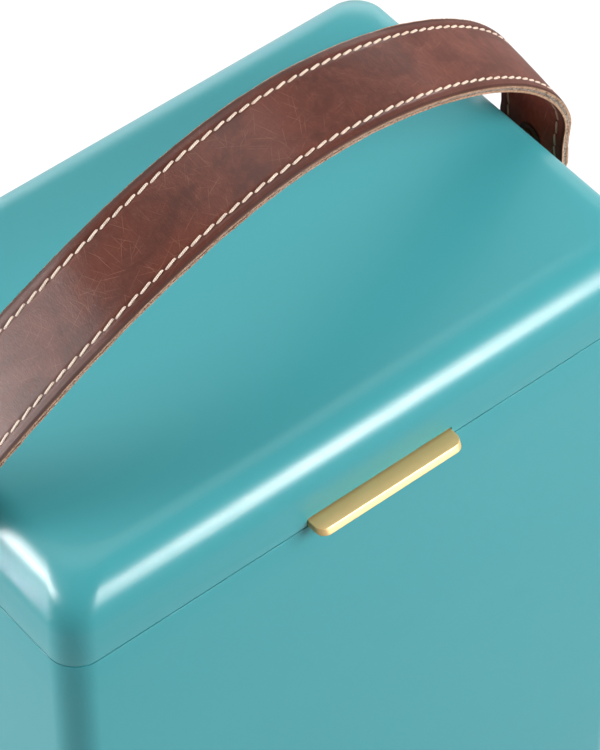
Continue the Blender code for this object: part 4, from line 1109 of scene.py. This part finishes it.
EDGE_STATIONS = (0, 0.25, 0.5, 0.75, 1.0, 1.2, 1.38, 1.5, 1.62, 1.85, 2.2, 2.7, 3.2, 3.7, 4.1, 4.5, 4.85, 5.2)
EDGE_STATIONS += (5.55, 5.9, 6.3, 6.8, 7.6, 8.8, 10.4, 12.4, 14.6, 17.2)
EDGE_SHARES = [1 - station / 21 for station in EDGE_STATIONS]
FULL_SHARES = [-share for share in EDGE_SHARES] + [0] + list(reversed(EDGE_SHARES))
PLAIN_SHARES = [-1, -0.97, -0.9, -0.75, -0.5, 0, 0.5, 0.75, 0.9, 0.97, 1]
SLOW_WANDER = 0.00022
QUICK_WANDER = 0.00016
UNEVENNESS = 0.00006
EDGE_FUZZ = 0.00007
EDGE_BULGE = 0.00012
course = strap_course()


def strap_layer(name, depths, top_relief, low_relief, side_inset, seed, finishes):
    """One layer of the strap as a closed body. Its cut sides carry the second finish."""
    top_shares = FULL_SHARES if top_relief else PLAIN_SHARES
    low_shares = list(reversed(FULL_SHARES if low_relief else PLAIN_SHARES))
    builder = bmesh.new()
    place_layer = builder.verts.layers.float_vector.new("strap_place")
    rows = []
    for row in course:
        height, run = row[1], row[4]
        half = half_width_at(height)
        wander = {}
        for side in (-1, 1):
            slow = noise.noise(Vector((run * 95, side * 7.3, seed)))
            quick = noise.noise(Vector((run * 520, side * 3.1, seed + 4)))
            shift = SLOW_WANDER * slow + QUICK_WANDER * quick - side_inset
            wander[side] = shift * min(half / 0.004, 1)
        ring = []

        def add(across, depth):
            vertex = builder.verts.new(strap_point(row, across, depth))
            vertex[place_layer] = (run, across, edge_distance(height, across))
            ring.append(vertex)

        for shares, depth, relief, outward in (
            (top_shares, depths[0], top_relief, 1),
            (low_shares, depths[1], low_relief, -1),
        ):
            for share in shares:
                side = 1 if share > 0 else -1
                across = share * half + side * wander[side] * abs(share) ** 8
                rise = 0
                if relief:
                    rise = relief(max(edge_distance(height, share * half), 0))
                    rise += UNEVENNESS * noise.noise(Vector((run * 60, across * 90, seed + 9)))
                add(across, depth - outward * rise)
            for step in (1, 2, 3):
                share = step / 4
                middle = depths[0] + (depths[1] - depths[0]) * (share if outward > 0 else 1 - share)
                fuzz = EDGE_FUZZ * noise.noise(Vector((run * 900, step * 5.7, seed + outward)))
                bulge = EDGE_BULGE * math.sin(math.pi * share)
                add(outward * max(half + wander[outward] + bulge + fuzz, 0.0001), middle)
        rows.append(ring)
    top_count = len(top_shares)
    low_start = top_count + 3
    sides, ends = join_rows(builder, rows)
    for side_faces in sides:
        for index, face in enumerate(side_faces):
            on_top = index < top_count - 1
            on_low = low_start <= index < low_start + len(low_shares) - 1
            face.material_index = 0 if on_top or on_low else 1
    for face in ends:
        face.material_index = 1
    return piece_from(name, builder, finishes, sharp=40)


def fine_scratches(finish, flat, turns, length_scale, across_scale, half_width):
    """Straight scratches, one family for each turn, some of them left out: 1 on a scratch, else 0."""
    lines = None
    for turn in turns:
        turned = finish.stretched(flat, (1, 1, 1), (0, 0, turn))
        drawn = finish.stretched(turned, (length_scale, across_scale, 1))
        grid = ("ShaderNodeTexVoronoi", {"voronoi_dimensions": "2D"}, {"Vector": drawn, "Scale": 1.0})
        middle = finish.node(*grid, "Position")
        chance = finish.node(*grid, "Color")
        run = finish.part_of(drawn, "X") - finish.part_of(middle, "X")
        slant = (finish.part_of(chance, "X") - 0.5) * 1.8 + run * (finish.part_of(chance, "Y") - 0.5)
        aside = finish.part_of(drawn, "Y") - finish.part_of(middle, "Y") - run * slant
        line = finish.between(aside.size(), half_width, half_width * 0.3)
        line = line * finish.between(run.size(), 0.5, 0.1)
        line = line * finish.between(finish.part_of(chance, "Z"), 0.55, 0.95)
        lines = line if lines is None else lines.most(line)
    return lines


DULL_FROM = 0.080
DULL_FULL = 0.115
BURNISHED_WITH_CREASE_SHADE = (0.030, 0.009, 0.005)
RAW_RIM = (0.20, 0.10, 0.055)


def smooth_leather(name, dark, mid, warm, gloss_base, scratch_tone, wear):
    """Waxed pull-up leather: cloudy colour, fine pores, creases with painted shade, pale scratches, and dark
    edges, burnished and with painted crease shade.

    The hand polishes it near the crown, and it is duller toward the ends.
    """
    finish = Finish(name, Specular_IOR_Level=0.22, IOR=1.45)
    place = finish.node("ShaderNodeAttribute", {"attribute_name": "strap_place"}, None, "Vector")
    distance = finish.part_of(place, "Z")
    run = finish.part_of(place, "X")
    flat = finish.node("ShaderNodeCombineXYZ", None, {"X": run, "Y": finish.part_of(place, "Y")})
    clouds = finish.cloud(finish.stretched(flat, (1, 1.5, 1)), 30, 5, 0.62, 0.7)
    mottle = finish.cloud(flat, 240, 5, 0.68, 0.3)
    pores = finish.cells(finish.stretched(flat, (1, 1.3, 1)), 2300)
    creases = finish.cells(finish.stretched(flat, (1, 0.5, 1), (0, 0, 0.5)), 820, "DISTANCE_TO_EDGE")
    fold = finish.cloud(finish.stretched(flat, (210, 55, 1), (0, 0, 0.3)), 1.0, 4, 0.62, 0.5)
    scratches = fine_scratches(finish, flat, (0.5, 1.1, 1.5, 2.1, 2.8), 70, 430, 0.060)
    scratches = scratches * finish.between(clouds, 0.42, 0.60)
    tone = finish.shade(finish.between(clouds, 0.36, 0.66), dark, mid)
    tone = finish.shade(finish.between(mottle, 0.42, 0.76) * 0.5, tone, warm)
    # Painted shade: the crease grooves that the bump cuts are darkened.
    tone = finish.shade(finish.between(creases, 0.09, 0.0) * 0.30, tone, dark)
    tone = finish.shade(scratches * wear, tone, scratch_tone)
    tone = finish.shade(finish.between(distance, 0.0056, 0.0048) * 0.45, tone, dark)
    # Partly painted shade: the edge band is burnished darker, and its darkening also stands in for the shade
    # of a crease line that the relief leaves out.
    burnish_and_crease_shade = finish.between(distance, 0.0018, 0.0010)
    tone = finish.shade(burnish_and_crease_shade * 0.6, tone, BURNISHED_WITH_CREASE_SHADE)
    tone = finish.shade(finish.between(distance, 0.0005, 0.0), tone, RAW_RIM)
    gloss = gloss_base + mottle * 0.10 + scratches * 0.08 - finish.between(clouds, 0.45, 0.7) * 0.05
    dulled = finish.between((run - STRAP_MIDDLE_RUN).size(), DULL_FROM, DULL_FULL)
    gloss = gloss + burnish_and_crease_shade * 0.2 + dulled * 0.3
    skin = finish.relief(finish.between(creases, 0.0, 0.22), 0.000018)
    skin = finish.relief(pores, 0.000010, skin)
    skin = finish.relief(fold, 0.00011, skin)
    skin = finish.relief(scratches, 0.000006, skin)
    return finish.feed(Base_Color=tone, Roughness=gloss, Normal=skin)


def raw_edge(name, low, high, speck, speck_share):
    """The cut side of a leather layer: packed fibres with dark specks and pale fluff."""
    finish = Finish(name, Specular_IOR_Level=0.15)
    place = finish.place()
    fibres = finish.cloud(place, 1700, 4, 0.7, 0.6)
    clumps = finish.cloud(place, 950, 3, 0.65)
    patches = finish.cloud(place, 160, 3, 0.6)
    tone = finish.shade(finish.between(fibres, 0.38, 0.62), low, high)
    tone = finish.shade(finish.between(clumps, 0.52, 0.62) * speck_share, tone, speck)
    tone = finish.shade(finish.between(patches, 0.55, 0.72) * 0.4, tone, speck)
    gloss = 0.8 + fibres * 0.2
    return finish.feed(Base_Color=tone, Roughness=gloss, Normal=finish.relief(fibres, 0.00030))


face_tones = ((0.074, 0.019, 0.011), (0.126, 0.032, 0.018), (0.156, 0.046, 0.027))
face_leather = smooth_leather("face_leather", *face_tones, 0.29, (0.32, 0.15, 0.10), 0.42)
lining_tones = ((0.100, 0.013, 0.006), (0.170, 0.024, 0.011), (0.215, 0.038, 0.018))
lining_leather = smooth_leather("lining_leather", *lining_tones, 0.44, (0.45, 0.17, 0.11), 0.45)
tan_edge = raw_edge("tan_raw_edge", (0.38, 0.19, 0.11), (0.72, 0.45, 0.30), (0.11, 0.045, 0.024), 0.7)
core_edge = raw_edge("grey_fibre_edge", (0.17, 0.12, 0.09), (0.52, 0.43, 0.36), (0.040, 0.022, 0.015), 0.85)
# Painted shadow: the washer's leather is near-black to stand in for the shade round the stud.
washer_shadow_tones = ((0.020, 0.008, 0.005), (0.055, 0.022, 0.013), (0.010, 0.004, 0.003))
washer_shadow_leather = raw_edge("washer_leather_painted_shadow", *washer_shadow_tones, 0.5)

# Each layer: its depths, the relief of its outer and inner side, how far its sides stand back, the seed of
# its edges' wander, its finishes, and what it replaces.
for name, depths, top, low, inset, seed, finishes, slot_name, node in (
    ("strap_outer_leather", FACE_DEPTHS, sewn_relief, None, 0, 1.7, [face_leather, tan_edge], "leather",
     "strap_face"),
    ("strap_middle", CORE_DEPTHS, None, None, 0.00018, 5.1, [core_edge, core_edge], "leather_core",
     "strap_core"),
    ("strap_inner_leather", LINING_DEPTHS, None, sewn_relief, 0.00005, 8.4, [lining_leather, tan_edge],
     "leather", "strap_lining"),
):
    fix(strap_layer(name, depths, top, low, inset, seed, finishes), "strap", slot_name, node)

# One waxed cream thread is saddle-stitched all round, 5 mm in from the edge. Each stitch lies in the trench a
# little aslant and dives into an awl hole at both ends. The same thread shows on the lining, where it gets a
# darker copy of its finish as painted shade for the strap's shaded underside.
STITCH_PITCH = 0.00675
STITCH_LENGTH = 0.0069
THREAD_WIDTH = 0.00114
THREAD_HEIGHT = 0.00082
STITCH_SLANT = math.radians(9)
STITCH_RADIUS = HALF_WIDTH - STITCH_INSET
STITCH_STEPS = 10
STITCH_SIDES = 10
THREAD_DEPTH = 0.00037
THREAD_LIFT = 0.00022
THREAD_DIVE = 0.00068
HOLE_SIDES = 12
HOLE_SIZE = (0.00080, 0.00062, 0.0003)


def waxed_thread(name, low, high, soiled):
    """Linen thread: two twisted strands with painted shade in the groove between them, patches of dirt, and a
    wax sheen.
    """
    finish = Finish(name, Specular_IOR_Level=0.3)
    place = finish.node("ShaderNodeAttribute", {"attribute_name": "thread_place"}, None, "Vector")
    twist = finish.part_of(place, "X") * 3600 + finish.part_of(place, "Y")
    strands = twist.math("SINE", twist).size()
    fuzz = finish.cloud(finish.place(), 2600, 2, 0.6)
    soil = finish.between(finish.cloud(finish.place(), 210, 3, 0.6), 0.45, 0.70)
    # Painted shade: the groove between the two strands, where the bump sinks, is darkened.
    tone = finish.shade(strands, low, high)
    tone = finish.shade(soil * 0.45, tone, soiled)
    gloss = 0.55 + fuzz * 0.2
    skin = finish.relief(strands, 0.00010)
    return finish.feed(Base_Color=tone, Roughness=gloss, Normal=finish.relief(fuzz, 0.00004, skin))


def awl_hole():
    """The shadowed mouth of a stitch hole in dark leather."""
    finish = Finish("awl_hole", Specular_IOR_Level=0.2)
    wax = finish.cloud(finish.place(), 3000, 2, 0.6)
    tone = finish.shade(wax, (0.010, 0.004, 0.003), (0.035, 0.014, 0.009))
    return finish.feed(Base_Color=tone, Roughness=0.7 + wax * 0.2, Normal=finish.relief(wax, 0.00004))


def stitch_loop(depth):
    """Points and outward normals of the stitch line: out along the front, round the stud, and back."""
    straight = [row for row in course if row[1] >= 0]
    turn = strap_place.to_3x3()
    loop = []
    for sign, rows in ((-1, straight), (1, list(reversed(straight)))):
        for row in rows:
            normal = turn @ Vector((row[2], 0, row[3]))
            loop.append((strap_point(row, sign * STITCH_RADIUS, depth), normal))
        end = rows[-1]
        for step in range(1, 36):
            angle = math.pi * step / 36
            height = -STITCH_RADIUS * math.sin(angle)
            bottom = (end[0], height, end[2], end[3], 0)
            across = sign * STITCH_RADIUS * math.cos(angle)
            loop.append((strap_point(bottom, across, depth), turn @ Vector((end[2], 0, end[3]))))
    return loop


def along_loop(loop, spacing_wish):
    """Evenly spaced (point, tangent, normal) round a closed loop, with the spacing nearest to the wish."""
    lengths = [0]
    for index in range(len(loop)):
        lengths.append(lengths[-1] + (loop[(index + 1) % len(loop)][0] - loop[index][0]).length)
    count = round(lengths[-1] / spacing_wish)
    frames = []
    index = 0
    for number in range(count):
        wanted = lengths[-1] * number / count
        while lengths[index + 1] < wanted:
            index += 1
        share = (wanted - lengths[index]) / (lengths[index + 1] - lengths[index])
        start, end = loop[index], loop[(index + 1) % len(loop)]
        normal = start[1].lerp(end[1], share).normalized()
        tangent = (end[0] - start[0]).normalized()
        frames.append((start[0].lerp(end[0], share), tangent, normal))
    return frames


def stitches_into(builder, place_layer, frames, flip):
    """A stitch at each place, and a hole halfway to the next one."""
    for number, (point, tangent, normal) in enumerate(frames):
        outward = normal * flip
        wobble = noise.noise(Vector((number * 1.37, flip * 5.0, 2.0)))
        slant = Matrix.Rotation(STITCH_SLANT + 0.05 * wobble, 3, outward)
        along = slant @ tangent
        across = outward.cross(along)
        length = STITCH_LENGTH * (1 + 0.04 * wobble)
        rows = []
        for step in range(STITCH_STEPS + 1):
            share = step / STITCH_STEPS * 2 - 1
            run = share * length / 2
            end_taper = math.sqrt(max(1 - abs(share) ** 5, 0.02))
            rise = THREAD_LIFT - THREAD_DIVE * abs(share) ** 6
            row = []
            for side in range(STITCH_SIDES):
                angle = 2 * math.pi * side / STITCH_SIDES
                wide = THREAD_WIDTH / 2 * end_taper * math.cos(angle)
                tall = THREAD_HEIGHT / 2 * end_taper * math.sin(angle)
                vertex = builder.verts.new(point + along * run + across * wide + outward * (rise + tall))
                vertex[place_layer] = (run + number * 0.001, angle, 0)
                row.append(vertex)
            rows.append(row)
        join_rows(builder, rows)
        following = frames[(number + 1) % len(frames)]
        hole = (point + following[0]) / 2 - outward * 0.00002
        side_way = outward.cross(tangent)
        rim = []
        for side in range(HOLE_SIDES):
            angle = 2 * math.pi * side / HOLE_SIDES
            edge = hole + tangent * HOLE_SIZE[0] * math.cos(angle)
            rim.append(builder.verts.new(edge + side_way * HOLE_SIZE[1] * math.sin(angle)))
        pit = builder.verts.new(hole - outward * HOLE_SIZE[2])
        for side in range(HOLE_SIDES):
            builder.faces.new((rim[side], rim[(side + 1) % HOLE_SIDES], pit)).material_index = 1


face_thread = waxed_thread("cream_thread", (0.56, 0.39, 0.29), (0.88, 0.73, 0.60), (0.50, 0.32, 0.22))
# Painted shade: the lining's stitches are the same thread in a darker copy, for the shaded underside.
lining_thread_shaded = waxed_thread("lining_thread_painted_shade", (0.26, 0.10, 0.055), (0.50, 0.25, 0.15), (0.16, 0.06, 0.03))
hole_shadow = awl_hole()
for name, depth, flip, thread in (
    ("outer_stitching", THREAD_DEPTH, 1, face_thread),
    ("inner_stitching", STRAP_THICKNESS - THREAD_DEPTH, -1, lining_thread_shaded),
):
    stitch_builder = bmesh.new()
    thread_layer = stitch_builder.verts.layers.float_vector.new("thread_place")
    frames = along_loop(stitch_loop(depth), STITCH_PITCH)
    stitches_into(stitch_builder, thread_layer, frames, flip)
    fix(piece_from(name, stitch_builder, [thread, hole_shadow]), "strap", "leather")

# A thin leather washer between strap and stud keeps the strap off the post's shoulder on each side. It is
# painted near-black as painted shadow round the stud, and it turns with the strap.
washer_start = STRAP_INSIDE - 0.0013
washer_profile = [(0.0038, 0), (0.0063, 0), (0.0065, 0.0002)]
washer_profile += [(0.0065, 0.0008), (0.0063, 0.0010), (0.0038, 0.0010)]
washer_profile = [(radius, washer_start + height) for radius, height in washer_profile]
for hand in stud_places:
    washer = turned_piece("leather_washer", washer_profile, hand, 40, washer_shadow_leather)
    fix(washer, "strap", "leather", f"strap_washer_{hand}")
